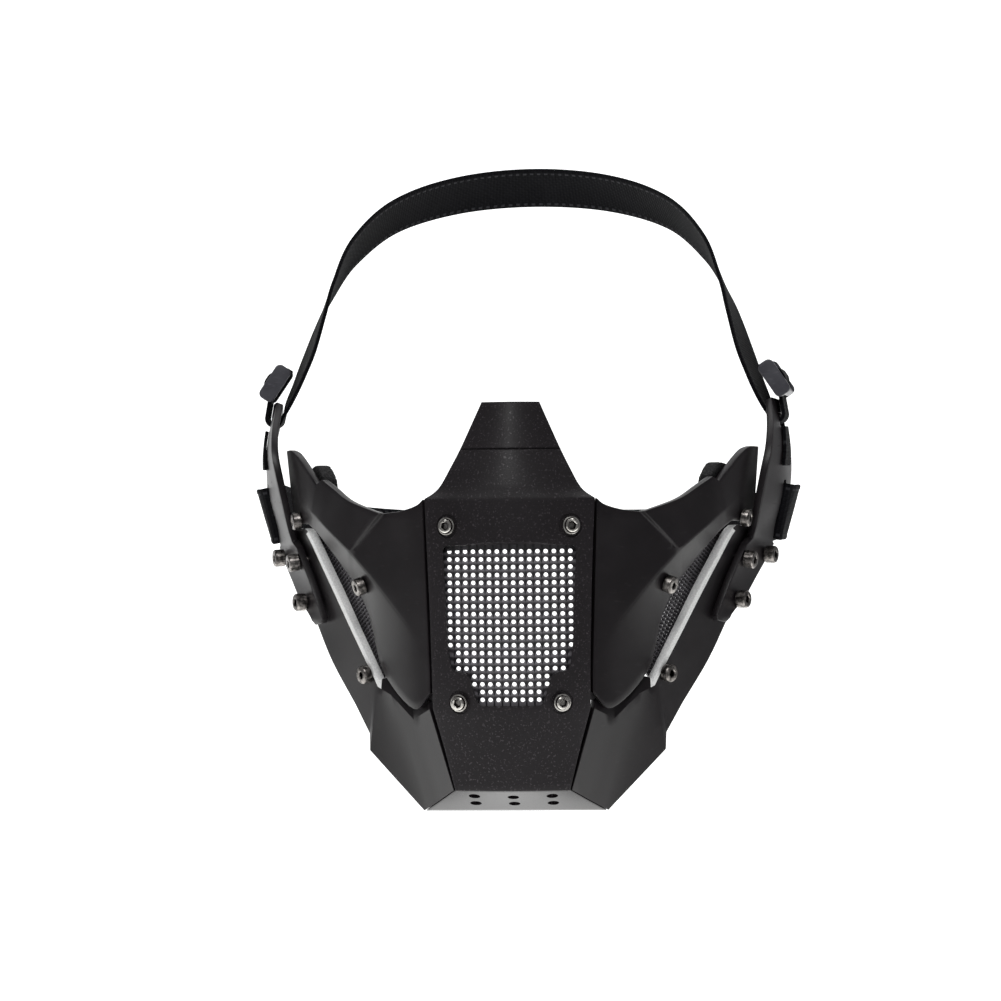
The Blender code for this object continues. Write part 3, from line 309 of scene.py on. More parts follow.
def through(points: Sequence[Vector], steps: int) -> list[Vector]:
    """Points on a smooth curve through the given ones.

    Args:
        points: The points that the curve passes.
        steps: How many spans each stretch between two points gets.

    Returns:
        The curve's points, the given ones among them.
    """
    if steps < 2 or len(points) < 2:
        return [point.copy() for point in points]
    ends = [points[0] * 2 - points[1], *points, points[-1] * 2 - points[-2]]
    curve = []
    for before, start, end, after in zip(ends, ends[1:], ends[2:], ends[3:]):
        for step in range(steps):
            t = step / steps
            pull = (end - before) * t + (before * 2 - start * 5 + end * 4 - after) * t ** 2
            curve.append(start + (pull + (start * 3 - before - end * 3 + after) * t ** 3) / 2)
    curve.append(points[-1].copy())
    return curve


def to_middle(points: Sequence[Vector]) -> list[Vector]:
    """Smooth strap line that crosses the middle plane squarely at its last point."""
    beyond = flip(points[-2], Side.LEFT)
    return through([*points, beyond], ROUTE_STEPS)[:-ROUTE_STEPS]


def frame_at(point: Vector, normal: Vector, up: Vector = Vector((0, 0, 1))) -> Matrix:
    """Matrix at a point with Z along the normal and X across the given up direction."""
    z_axis = normal.normalized()
    x_axis = up.cross(z_axis).normalized()
    y_axis = z_axis.cross(x_axis)
    turn = Matrix((x_axis, y_axis, z_axis)).transposed().to_4x4()
    return Matrix.Translation(point) @ turn


@dataclass
class Grid:
    """A grid of points, rows along a face and columns across it."""

    rows: Rows

    def refined(self, steps: int, corners: Iterable[int] = ()) -> Grid:
        """Smooth spans between rows, broken at the corner rows.

        Args:
            steps: Spans for each stretch between two rows.
            corners: Numbers of the rows where the surface keeps a crease.

        Returns:
            The finer grid.
        """
        stops = sorted({0, len(self.rows) - 1, *corners})
        columns = []
        for column in zip(*self.rows):
            line: list[Vector] = []
            for start, end in zip(stops, stops[1:]):
                part = through(column[start:end + 1], steps)
                line += part if not line else part[1:]
            columns.append(line)
        return Grid(columns).crossed()

    def crossed(self) -> Grid:
        """The grid with its rows and columns swapped."""
        return Grid([list(line) for line in zip(*self.rows)])

    def point(self, row: float, column: float) -> Vector:
        """Point at a fractional row and a share of the way across."""
        low = min(int(row), len(self.rows) - 2)
        across = column * (len(self.rows[0]) - 1)
        left = min(int(across), len(self.rows[0]) - 2)
        ends = [line[left].lerp(line[left + 1], across - left) for line in self.rows[low:low + 2]]
        return ends[0].lerp(ends[1], row - low)

    def normal(self, row: float, column: float) -> Vector:
        """Outward unit normal there."""
        step = 0.05
        along = self.point(row + step, column) - self.point(row - step, column)
        across = self.point(row, column + step) - self.point(row, column - step)
        outward = along.cross(across).normalized()
        if outward.dot(towards_core(self.point(row, column))) > 0:
            outward.negate()
        return outward

    def frame(self, row: float, column: float) -> Matrix:
        """Frame there, with Z outward."""
        return frame_at(self.point(row, column), self.normal(row, column))

    def normals(self) -> Rows:
        """Unit normal at each point, by the two directions there."""
        last_row = len(self.rows) - 1
        last_column = len(self.rows[0]) - 1
        found = []
        for r in range(last_row + 1):
            line = []
            for c in range(last_column + 1):
                along = self.rows[min(r + 1, last_row)][c] - self.rows[max(r - 1, 0)][c]
                across = self.rows[r][min(c + 1, last_column)] - self.rows[r][max(c - 1, 0)]
                line.append(along.cross(across).normalized())
            found.append(line)
        return found

    def moved(self, wall: float, direction: Callable[[Vector, Vector], Vector]) -> Grid:
        """The grid moved by a wall that is measured square to the surface.

        Args:
            wall: Thickness in metres.
            direction: Gives the way to move from a point and its normal.

        Returns:
            The other face of the wall.
        """
        shifted = []
        for line, normals in zip(self.rows, self.normals()):
            row = []
            for point, normal in zip(line, normals):
                way = direction(point, normal)
                square = max(abs(way.dot(normal)), LEAST_SQUARE)
                row.append(point + way * (wall / square))
            shifted.append(row)
        return Grid(shifted)


def inward(point: Vector, _normal: Vector) -> Vector:
    """Way from a point of the skin to the inside of the mask."""
    return towards_core(point)


def outward(point: Vector, normal: Vector) -> Vector:
    """The normal, turned away from the inside of the mask."""
    return -normal if normal.dot(towards_core(point)) > 0 else normal


def lay_grid(bm: bmesh.types.BMesh, grid: Grid) -> list[bmesh.types.BMVert]:
    """Add one face of quads whose corners lie on a grid's points."""
    made = bmesh.ops.create_grid(bm, x_segments=len(grid.rows[0]) - 1,
                                 y_segments=len(grid.rows) - 1, size=1)
    points = [point for line in grid.rows for point in line]
    for vertex, point in zip(made["verts"], points):
        vertex.co = point
    return made["verts"]


def walled(outer: Grid, inner: Grid, edge_round: float = EDGE_ROUND,
           marked: Callable[[Vector], bool] | None = None) -> bmesh.types.BMesh:
    """Solid between two grids of one size, with its rim rounded.

    Args:
        outer: Points of the outer face.
        inner: Points of the inner face.
        edge_round: Width of the round on the rim's edges.
        marked: Says of an outer or rim face's middle whether the face lies on the cut edge that
            gets a painted highlight.

    Returns:
        A closed bmesh, whose marked faces have material index 1.
    """
    bm = bmesh.new()
    order = bm.verts.layers.int.new("order")
    for number, vertex in enumerate(lay_grid(bm, outer)):
        vertex[order] = number
    made = bmesh.ops.extrude_face_region(bm, geom=bm.faces[:], use_keep_orig=True)["geom"]
    points = [point for line in inner.rows for point in line]
    fresh = {item for item in made if isinstance(item, bmesh.types.BMVert)}
    for vertex in fresh:
        vertex.co = points[vertex[order]]
    if marked:
        for face in bm.faces:
            if not all(vertex in fresh for vertex in face.verts):
                face.material_index = int(marked(face.calc_center_median()))
    bmesh.ops.recalc_face_normals(bm, faces=bm.faces)
    hard = [edge for edge in bm.edges if edge.calc_face_angle(0) > math.radians(HARD_EDGE)]
    bmesh.ops.bevel(bm, geom=hard, offset=edge_round, segments=EDGE_SPANS, profile=0.5,
                    affect="EDGES", clamp_overlap=True, material=-1)
    return bm


def lofted(rings: Sequence[Sequence[Vector]]) -> bmesh.types.BMesh:
    """Closed bmesh through rings of equal length, capped at both ends."""
    bm = bmesh.new()
    lay_grid(bm, Grid([[*ring, ring[0]] for ring in rings]))
    bmesh.ops.remove_doubles(bm, verts=bm.verts, dist=SAME_POINT)
    bmesh.ops.holes_fill(bm, edges=[edge for edge in bm.edges if edge.is_boundary])
    bmesh.ops.recalc_face_normals(bm, faces=bm.faces)
    return bm


def turned(profile: Profile, steps: int) -> bmesh.types.BMesh:
    """Solid of revolution about Z from radius and height pairs that start and end on the axis."""
    bm = bmesh.new()
    line = bmesh.ops.create_circle(bm, cap_ends=False, segments=len(profile), radius=1)["verts"]
    for vertex, (radius, height) in zip(line, profile):
        vertex.co = (radius, 0, height)
    ends = {line[0], line[-1]}
    seam = [edge for edge in bm.edges if set(edge.verts) == ends]
    bmesh.ops.delete(bm, geom=seam, context="EDGES")
    bmesh.ops.spin(bm, geom=bm.verts[:] + bm.edges[:], cent=(0, 0, 0), axis=(0, 0, 1),
                   angle=math.tau, steps=steps, use_merge=True)
    bmesh.ops.remove_doubles(bm, verts=bm.verts, dist=SAME_TURNED)
    bmesh.ops.recalc_face_normals(bm, faces=bm.faces)
    return bm


@dataclass
class Cutter:
    """A guide whose shape is taken out of a piece."""

    bm: bmesh.types.BMesh

    def taken_from(self, obj: bpy.types.Object) -> None:
        """Cut the guide's shape out of the object and drop the guide."""
        mesh = bpy.data.meshes.new("guide")
        self.bm.to_mesh(mesh)
        self.bm.free()
        guide = bpy.data.objects.new("guide", mesh)
        bpy.context.scene.collection.objects.link(guide)
        boolean = obj.modifiers.new("cut", "BOOLEAN")
        boolean.operation = "DIFFERENCE"
        boolean.object = guide
        boolean.solver = "EXACT"
        bpy.context.view_layer.update()
        graph = bpy.context.evaluated_depsgraph_get()
        result = bpy.data.meshes.new_from_object(obj.evaluated_get(graph))
        obj.modifiers.clear()
        old = obj.data
        obj.data = result
        bpy.data.meshes.remove(old)
        bpy.data.objects.remove(guide)
        bpy.data.meshes.remove(mesh)


def rod_cutter(matrix: Matrix, radius: float, low: float, high: float, flare: float = 0.0,
               sides: int = 32) -> Cutter:
    """Round guide along a frame's Z.

    Args:
        matrix: Frame whose Z the guide follows.
        radius: Its radius.
        low: Where it starts.
        high: Where it ends.
        flare: Width of the round where it leaves the surface at height zero.
        sides: How many sides it has.

    Returns:
        The guide.
    """
    profile = [(0, low), (radius, low)]
    if flare:
        for degrees in (0, 30, 60, 90):
            turn = math.radians(degrees)
            profile.append((radius + flare * (1 - math.cos(turn)), flare * (math.sin(turn) - 1)))
        profile.append((radius + flare * 1.2, high))
    else:
        profile.append((radius, high))
    profile.append((0, high))
    bm = turned(profile, sides)
    bmesh.ops.transform(bm, matrix=matrix, verts=bm.verts)
    return Cutter(bm)


class Sock:
    """One shader output with arithmetic that adds Math, Vector Math and Mix nodes."""

    def __init__(self, graph: Graph, socket: bpy.types.NodeSocket) -> None:
        """Keep the graph and the socket."""
        self.graph = graph
        self.socket = socket

    def _math(self, operation: str, *values: object) -> Sock:
        """Join this and other values by one Math or Vector Math node."""
        given = [self, *values]
        vectors = any(isinstance(v, Sock) and v.socket.type == "VECTOR" for v in given)
        kind = "ShaderNodeVectorMath" if vectors else "ShaderNodeMath"
        return self.graph.node(kind, {"operation": operation}, dict(enumerate(given)))

    def __add__(self, other: object) -> Sock:
        """Sum."""
        return self._math("ADD", other)

    def __radd__(self, other: object) -> Sock:
        """Sum with a plain number on the left."""
        return self._math("ADD", other)

    def __sub__(self, other: object) -> Sock:
        """Difference."""
        return self._math("SUBTRACT", other)

    def __rsub__(self, other: object) -> Sock:
        """Difference from a plain number."""
        return (self * -1) + other

    def __mul__(self, other: object) -> Sock:
        """Product."""
        return self._math("MULTIPLY", other)

    def __rmul__(self, other: object) -> Sock:
        """Product with a plain number on the left."""
        return self._math("MULTIPLY", other)

    def wave(self) -> Sock:
        """Sine of the value."""
        return self._math("SINE")

    def absolute(self) -> Sock:
        """Value without its sign."""
        return self._math("ABSOLUTE")

    def step(self, low: float, high: float, to_low: float = 0.0, to_high: float = 1.0) -> Sock:
        """Smooth step from one value to another as this goes from low to high."""
        sockets = {"Value": self, "From Min": low, "From Max": high, "To Min": to_low,
                   "To Max": to_high}
        return self.graph.node("ShaderNodeMapRange", {"interpolation_type": "SMOOTHSTEP"}, sockets)

    def blend(self, low: Sock | Colour, high: Sock | Colour) -> Sock:
        """Colour between two, by this factor."""
        sockets = {0: self, 6: low, 7: high}
        return self.graph.node("ShaderNodeMix", {"data_type": "RGBA"}, sockets, 2)


class Graph:
    """Node tree of one material, ending in a Principled shader."""

    def __init__(self, name: str) -> None:
        """Start a material with an empty tree."""
        self.material = bpy.data.materials.new(name)
        self.material.use_nodes = True
        self.tree = self.material.node_tree
        self.tree.nodes.clear()

    def add(self, kind: str, settings: dict[str, object] | None = None,
            sockets: dict[int | str, object] | None = None) -> bpy.types.Node:
        """Add any node.

        Args:
            kind: Its Blender type.
            settings: Properties of the node.
            sockets: Inputs by name or number, as links or constants.

        Returns:
            The node.
        """
        made = self.tree.nodes.new(kind)
        for key, value in (settings or {}).items():
            setattr(made, key, value)
        for key, value in (sockets or {}).items():
            entry = made.inputs[key]
            if isinstance(value, Sock):
                self.tree.links.new(value.socket, entry)
            elif entry.type == "RGBA" and len(value) == 3:
                entry.default_value = (*value, 1)
            elif entry.type == "VECTOR" and isinstance(value, (int, float)):
                entry.default_value = (value, value, value)
            else:
                entry.default_value = value
        return made

    def node(self, kind: str, settings: dict[str, object] | None = None,
             sockets: dict[int | str, object] | None = None, output: int | str = 0) -> Sock:
        """Add any node and give one of its outputs."""
        return Sock(self, self.add(kind, settings, sockets).outputs[output])

    def place(self) -> Sock:
        """Object coordinates."""
        return self.node("ShaderNodeTexCoord", output="Object")

    def stretched(self, x: float, y: float, z: float) -> Sock:
        """Object coordinates, multiplied along each axis."""
        return self.place() * self.node("ShaderNodeCombineXYZ", {}, {"X": x, "Y": y, "Z": z})

    def noise(self, size: float, detail: float = 2.0, place: Sock | None = None) -> Sock:
        """Noise whose lumps are about a size in metres, from 0 to 1."""
        sockets = {"Vector": place or self.place(), "Scale": 1 / size, "Detail": detail}
        return self.node("ShaderNodeTexNoise", {}, sockets)

    def cells(self, size: float) -> Sock:
        """Distance to the middle of cells about a size in metres."""
        sockets = {"Vector": self.place(), "Scale": 1 / size}
        return self.node("ShaderNodeTexVoronoi", {}, sockets)

    def attribute(self, name: str) -> Sock:
        """A number that the mesh carries."""
        return self.node("ShaderNodeAttribute", {"attribute_name": name}, output="Fac")

    def bump(self, height: Sock, distance: float, strength: float) -> Sock:
        """Normal bent by a height from 0 to 1 that stands for a distance in metres."""
        sockets = {"Height": height, "Distance": distance, "Strength": strength}
        return self.node("ShaderNodeBump", {}, sockets)

    def finish(self, **inputs: object) -> bpy.types.Material:
        """End the tree in a Principled shader with the given inputs."""
        sockets = {name.replace("_", " ").title().replace("Ior", "IOR"): value
                   for name, value in inputs.items()}
        shader = self.node("ShaderNodeBsdfPrincipled", {}, sockets)
        self.add("ShaderNodeOutputMaterial", {}, {"Surface": shader})
        return self.material


# Specular level of the two shell plastics
PLASTIC_SHINE = 0.25


@dataclass(frozen=True)
class TexturedPlastic:
    """Fine pebbled moulding with painted glints on its grain, smooth below a height."""

    base: Colour = (0.0090, 0.0071, 0.0084)
    painted_glint: Colour = (0.080, 0.070, 0.078)
    faded: Colour = (0.0150, 0.0120, 0.0145)
    roughness: float = 0.50
    grain: float = 0.00055
    cloud: float = 0.018
    depth: float = 0.00010
    smooth_below: float = -0.1326
    smooth_roughness: float = 0.16

    def material(self) -> bpy.types.Material:
        """Build the material."""
        graph = Graph("textured_plastic")
        pebble = graph.cells(self.grain)
        lumps = graph.noise(self.grain * 1.6, 3)
        cloud = graph.noise(self.cloud, 3)
        # Painted highlight: light specks in the base colour stand for glints on the pebbled grain,
        # which is also a little less rough there.
        glint = graph.noise(self.grain * 1.3, 1).step(0.60, 0.72)
        colour = (glint * 0.55).blend(self.base, self.painted_glint)
        tint = cloud.step(0.3, 0.8, 0.0, 0.35).blend(colour, self.faded)
        height = graph.node("ShaderNodeSeparateXYZ", {}, {0: graph.place()}, "Z")
        grainy = height.step(self.smooth_below - 0.0006, self.smooth_below)
        rough = self.roughness + (cloud - 0.5) * 0.16 - glint * 0.14
        rough = (rough - self.smooth_roughness) * grainy + self.smooth_roughness
        normal = graph.bump((pebble * 0.6 + lumps * 0.7) * grainy, self.depth, 0.55)
        return graph.finish(base_color=tint, roughness=rough, normal=normal,
                            specular_ior_level=PLASTIC_SHINE)


@dataclass(frozen=True)
class SmoothPlastic:
    """Satin moulding with faint haze, fine scuffs and a pale painted highlight on the cut edge."""

    base: Colour = (0.0082, 0.0066, 0.0077)
    haze: Colour = (0.0125, 0.0104, 0.0118)
    scuffed: Colour = (0.032, 0.030, 0.031)
    cut_edge: Colour = (0.84, 0.84, 0.83)
    painted_highlight_mottle: Colour = (0.68, 0.68, 0.675)
    roughness: float = 0.36
    grain: float = 0.0006
    scuff: float = 0.004
    cloud: float = 0.022
    depth: float = 0.00003

    def material(self) -> bpy.types.Material:
        """Build the material."""
        graph = Graph("smooth_plastic")
        cloud = graph.noise(self.cloud, 4)
        fine = graph.noise(self.grain, 2)
        scuff = graph.noise(self.scuff, 5, graph.stretched(1.0, 0.35, 2.4)).step(0.62, 0.78)
        # Painted highlight: faces along the side opening get a pale colour, mottled by fine noise,
        # in place of the light that this edge reflects.
        cut = graph.attribute("cut_edge")
        plain = cloud.step(0.35, 0.75).blend(self.base, self.haze)
        worn = (scuff * 0.35).blend(plain, self.scuffed)
        edge = fine.step(0.3, 0.7).blend(self.cut_edge, self.painted_highlight_mottle)
        colour = cut.step(0.4, 0.6).blend(worn, edge)
        rough = self.roughness + (cloud - 0.5) * 0.14 + scuff * 0.10 + cut * 0.08
        normal = graph.bump(fine + cloud * 0.6, self.depth, 0.5)
        return graph.finish(base_color=colour, roughness=rough, normal=normal,
                            specular_ior_level=PLASTIC_SHINE)


@dataclass(frozen=True)
class CoatedSteel:
    """Black coated perforated sheet with rubbed patches and painted highlights round its holes."""

    base: Colour = (0.012, 0.011, 0.0125)
    rubbed: Colour = (0.070, 0.066, 0.074)
    painted_rim_highlight: Colour = (0.30, 0.285, 0.31)
    roughness: float = 0.34
    grain: float = 0.0005
    blotch: float = 0.0035
    depth: float = 0.00003

    def material(self) -> bpy.types.Material:
        """Build the material."""
        graph = Graph("coated_steel")
        rub = graph.noise(self.blotch, 4).step(0.45, 0.75)
        fine = graph.noise(self.grain, 2)
        # Painted highlight on the rings round the holes and on the lines between rows, varied by
        # the rub noise.
        rim = graph.attribute("rubbed").step(0.30, 0.95) * (rub * 0.5 + 0.5)
        colour = rim.blend((rub * fine).blend(self.base, self.rubbed), self.painted_rim_highlight)
        rough = self.roughness + (fine - 0.5) * 0.2
        normal = graph.bump(fine, self.depth, 0.5)
        return graph.finish(base_color=colour, roughness=rough, metallic=rub * 0.5, normal=normal)


@dataclass(frozen=True)
class ScrewMetal:
    """Blotched steel, its coat worn off in places, with painted shade in its socket and hollows.
    """

    name: str
    coat: Colour
    worn: Colour
    roughness: float = 0.30
    shadow: Colour = (0.006, 0.006, 0.006)
    recess: float = 0.0022
    grain: float = 0.00018
    blotch: float = 0.0016
    depth: float = 0.00003

    def material(self) -> bpy.types.Material:
        """Build the material."""
        graph = Graph(self.name)
        blotch = graph.noise(self.blotch, 4)
        fine = graph.noise(self.grain, 2)
        wear = blotch.step(0.40, 0.66)
        # Painted shade: ambient occlusion over a short distance darkens the colour in the socket
        # and other hollows to the shadow colour.
        open_air = graph.node("ShaderNodeAmbientOcclusion", {"samples": 8, "only_local": True},
                              {"Distance": self.recess}, "AO")
        metal = wear.blend(self.coat, self.worn)
        colour = open_air.step(0.35, 0.75).blend(self.shadow, metal)
        rough = self.roughness + (blotch - 0.5) * 0.35
        normal = graph.bump(fine + blotch, self.depth, 0.5)
        return graph.finish(base_color=colour, roughness=rough, metallic=1.0, normal=normal)


@dataclass(frozen=True)
class WovenWebbing:
    """Black woven band: ribs across, slanted yarn between them and stitched borders.

    The seam lies between two pairs of distances from the band's edge.
    """

    base: Colour = (0.0026, 0.0026, 0.0036)
    crown: Colour = (0.0095, 0.0095, 0.0118)
    thread: Colour = (0.027, 0.027, 0.031)
    faded: Colour = (0.0075, 0.0075, 0.0092)
    rib: float = 0.0013
    slant: float = 0.0024
    yarn: float = 0.0009
    stitch: float = 0.0030
    seam_starts: tuple[float, float] = (0.0012, 0.0016)
    seam_ends: tuple[float, float] = (0.0022, 0.0026)
    fuzz: float = 0.0004
    cloud: float = 0.012
    depth: float = 0.00035

    def material(self) -> bpy.types.Material:
        """Build the material."""
        graph = Graph("woven_webbing")
        across = graph.attribute("across")
        along = graph.attribute("along")
        half = graph.attribute("half_width")
        ribs = (along * (math.tau / self.rib)).wave() * 0.5 + 0.5
        slant = (along * (math.tau / self.rib / 2) + across * (math.tau / self.slant)).wave()
        yarn = (across * (math.tau / self.yarn)).wave() * 0.5 + 0.5
        weave = ribs * 0.55 + slant * 0.15 + yarn * 0.30
        inset = half - across.absolute()
        border = inset.step(*self.seam_starts) - inset.step(*self.seam_ends)
        dash = (along * (math.tau / self.stitch)).wave().step(-0.1, 0.25)
        seam = border * dash
        fuzz = graph.noise(self.fuzz, 3)
        cloud = graph.noise(self.cloud, 3)
        cloth = (weave * fuzz).step(0.15, 0.8).blend(self.base, self.crown)
        aged = cloud.step(0.4, 0.8, 0.0, 0.4).blend(cloth, self.faded)
        colour = (seam * 0.8).blend(aged, self.thread)
        rough = 0.92 - seam * 0.25 - weave * 0.10
        normal = graph.bump(weave * 0.6 + seam * 0.8 + fuzz * 0.25, self.depth, 0.7)
        return graph.finish(base_color=colour, roughness=rough, normal=normal,
                            sheen_weight=0.04, sheen_roughness=0.5, specular_ior_level=0.06)


@dataclass(frozen=True)
class BucklePlastic:
    """Dark grey moulded plastic with scratches."""

    base: Colour = (0.046, 0.045, 0.054)
    haze: Colour = (0.058, 0.058, 0.068)
    scratch: Colour = (0.10, 0.10, 0.115)
    roughness: float = 0.34
    grain: float = 0.0003
    mark: float = 0.0012
    cloud: float = 0.003
    depth: float = 0.00005

    def material(self) -> bpy.types.Material:
        """Build the material."""
        graph = Graph("buckle_plastic")
        cloud = graph.noise(self.cloud, 4)
        marks = graph.noise(self.mark, 3, graph.stretched(0.4, 1.0, 2.6)).step(0.58, 0.72)
        fine = graph.noise(self.grain, 2)
        plain = cloud.step(0.3, 0.8).blend(self.base, self.haze)
        colour = (marks * 0.6).blend(plain, self.scratch)
        rough = self.roughness + (cloud - 0.5) * 0.2 + marks * 0.12
        normal = graph.bump(fine + cloud, self.depth, 0.5)
        return graph.finish(base_color=colour, roughness=rough, normal=normal)


@dataclass(frozen=True)
class ClosedFoam:
    """Black foam with open pores and a torn surface."""

    base: Colour = (0.0065, 0.0065, 0.0072)
    raised_tone: Colour = (0.034, 0.033, 0.034)
    roughness: float = 0.88
    pore: float = 0.0007
    lump: float = 0.0022
    depth: float = 0.00040

    def material(self) -> bpy.types.Material:
        """Build the material."""
        graph = Graph("closed_foam")
        pores = graph.cells(self.pore)
        lumps = graph.noise(self.lump, 4)
        # Lighter on the raised parts between the pores, darker in the pores.
        colour = (pores * lumps).step(0.2, 0.6).blend(self.base, self.raised_tone)
        rough = self.roughness + (lumps - 0.5) * 0.2
        normal = graph.bump(pores + lumps * 1.4, self.depth, 0.8)
        return graph.finish(base_color=colour, roughness=rough, normal=normal)


@dataclass(frozen=True)
class StudioPaper:
    """White seamless paper of the set, whose glow changes from the camera to the far wall."""

    base: Colour = (0.86, 0.865, 0.86)
    shade: Colour = (0.84, 0.845, 0.84)
    near_glow: Colour = (0.30, 0.30, 0.30)
    floor_glow: Colour = (1.45, 1.46, 1.43)
    far_glow: Colour = (0.92, 0.925, 0.92)
    floor_starts: tuple[float, float] = (-0.25, -0.05)
    wall_starts: tuple[float, float] = (0.9, 1.5)
    fibre: float = 0.004

    def material(self) -> bpy.types.Material:
        """Build the material."""
        graph = Graph("studio_paper")
        colour = graph.noise(self.fibre, 3).blend(self.base, self.shade)
        depth = graph.node("ShaderNodeSeparateXYZ", {}, {0: graph.place()}, "Y")
        floor = depth.step(*self.floor_starts).blend(self.near_glow, self.floor_glow)
        glow = depth.step(*self.wall_starts).blend(floor, self.far_glow)
        return graph.finish(base_color=colour, roughness=0.9, emission_color=glow,
                            emission_strength=1.0)


Finish = (TexturedPlastic | SmoothPlastic | CoatedSteel | ScrewMetal | WovenWebbing
          | BucklePlastic | ClosedFoam | StudioPaper)


@dataclass
class Wardrobe:
    """The finishes of the mask, each built once."""

    made: dict[Finish, bpy.types.Material] = field(default_factory=dict)

    def __getitem__(self, finish: Finish) -> bpy.types.Material:
        """The finish's material."""
        if finish not in self.made:
            self.made[finish] = finish.material()
        return self.made[finish]


WARDROBE = Wardrobe()
TEXTURED = TexturedPlastic()
SMOOTH = SmoothPlastic()
STEEL = CoatedSteel()
GUNMETAL = ScrewMetal("gunmetal", (0.46, 0.44, 0.41), (0.72, 0.70, 0.66), 0.20)
BLACKENED = ScrewMetal("blackened_steel", (0.095, 0.088, 0.084), (0.30, 0.28, 0.265), 0.32)
WEAVE = WovenWebbing()
BUCKLE = BucklePlastic()
FOAM = ClosedFoam()


def add_piece(name: str, bm: bmesh.types.BMesh, finish: Finish,
              nodes: Sequence[str], sharp: float = SHARP_SHELL) -> bpy.types.Object:
    """Turn a bmesh into a piece that rides on the mask.

    Args:
        name: Name of the piece.
        bm: Its shape, which this call frees.
        finish: What it is made of.
        nodes: CAD nodes that it stands for.
        sharp: Angle in degrees above which an edge stays sharp.

    Returns:
        The object.
    """
    mesh = bpy.data.meshes.new(name)
    bm.to_mesh(mesh)
    bm.free()
    obj = bpy.data.objects.new(name, mesh)
    bpy.context.scene.collection.objects.link(obj)
    dress(obj, finish, sharp)
    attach(obj, "root")
    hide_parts(*nodes)
    return obj


def dress(obj: bpy.types.Object, finish: Finish, sharp: float = SHARP_SHELL) -> None:
    """Give a mesh its material, the face attribute that marks a painted highlight, and its smooth
    shading.
    """
    mesh = obj.data
    indices = [polygon.material_index for polygon in mesh.polygons]
    if any(indices):
        # Faces with material index 1 carry the painted highlight of the cut edge.
        attribute = mesh.attributes.new("cut_edge", "FLOAT", "FACE")
        attribute.data.foreach_set("value", [float(index) for index in indices])
        mesh.polygons.foreach_set("material_index", [0] * len(indices))
    mesh.materials.clear()
    mesh.materials.append(WARDROBE[finish])
    mesh.shade_smooth()
    mesh.set_sharp_from_angle(angle=math.radians(sharp))


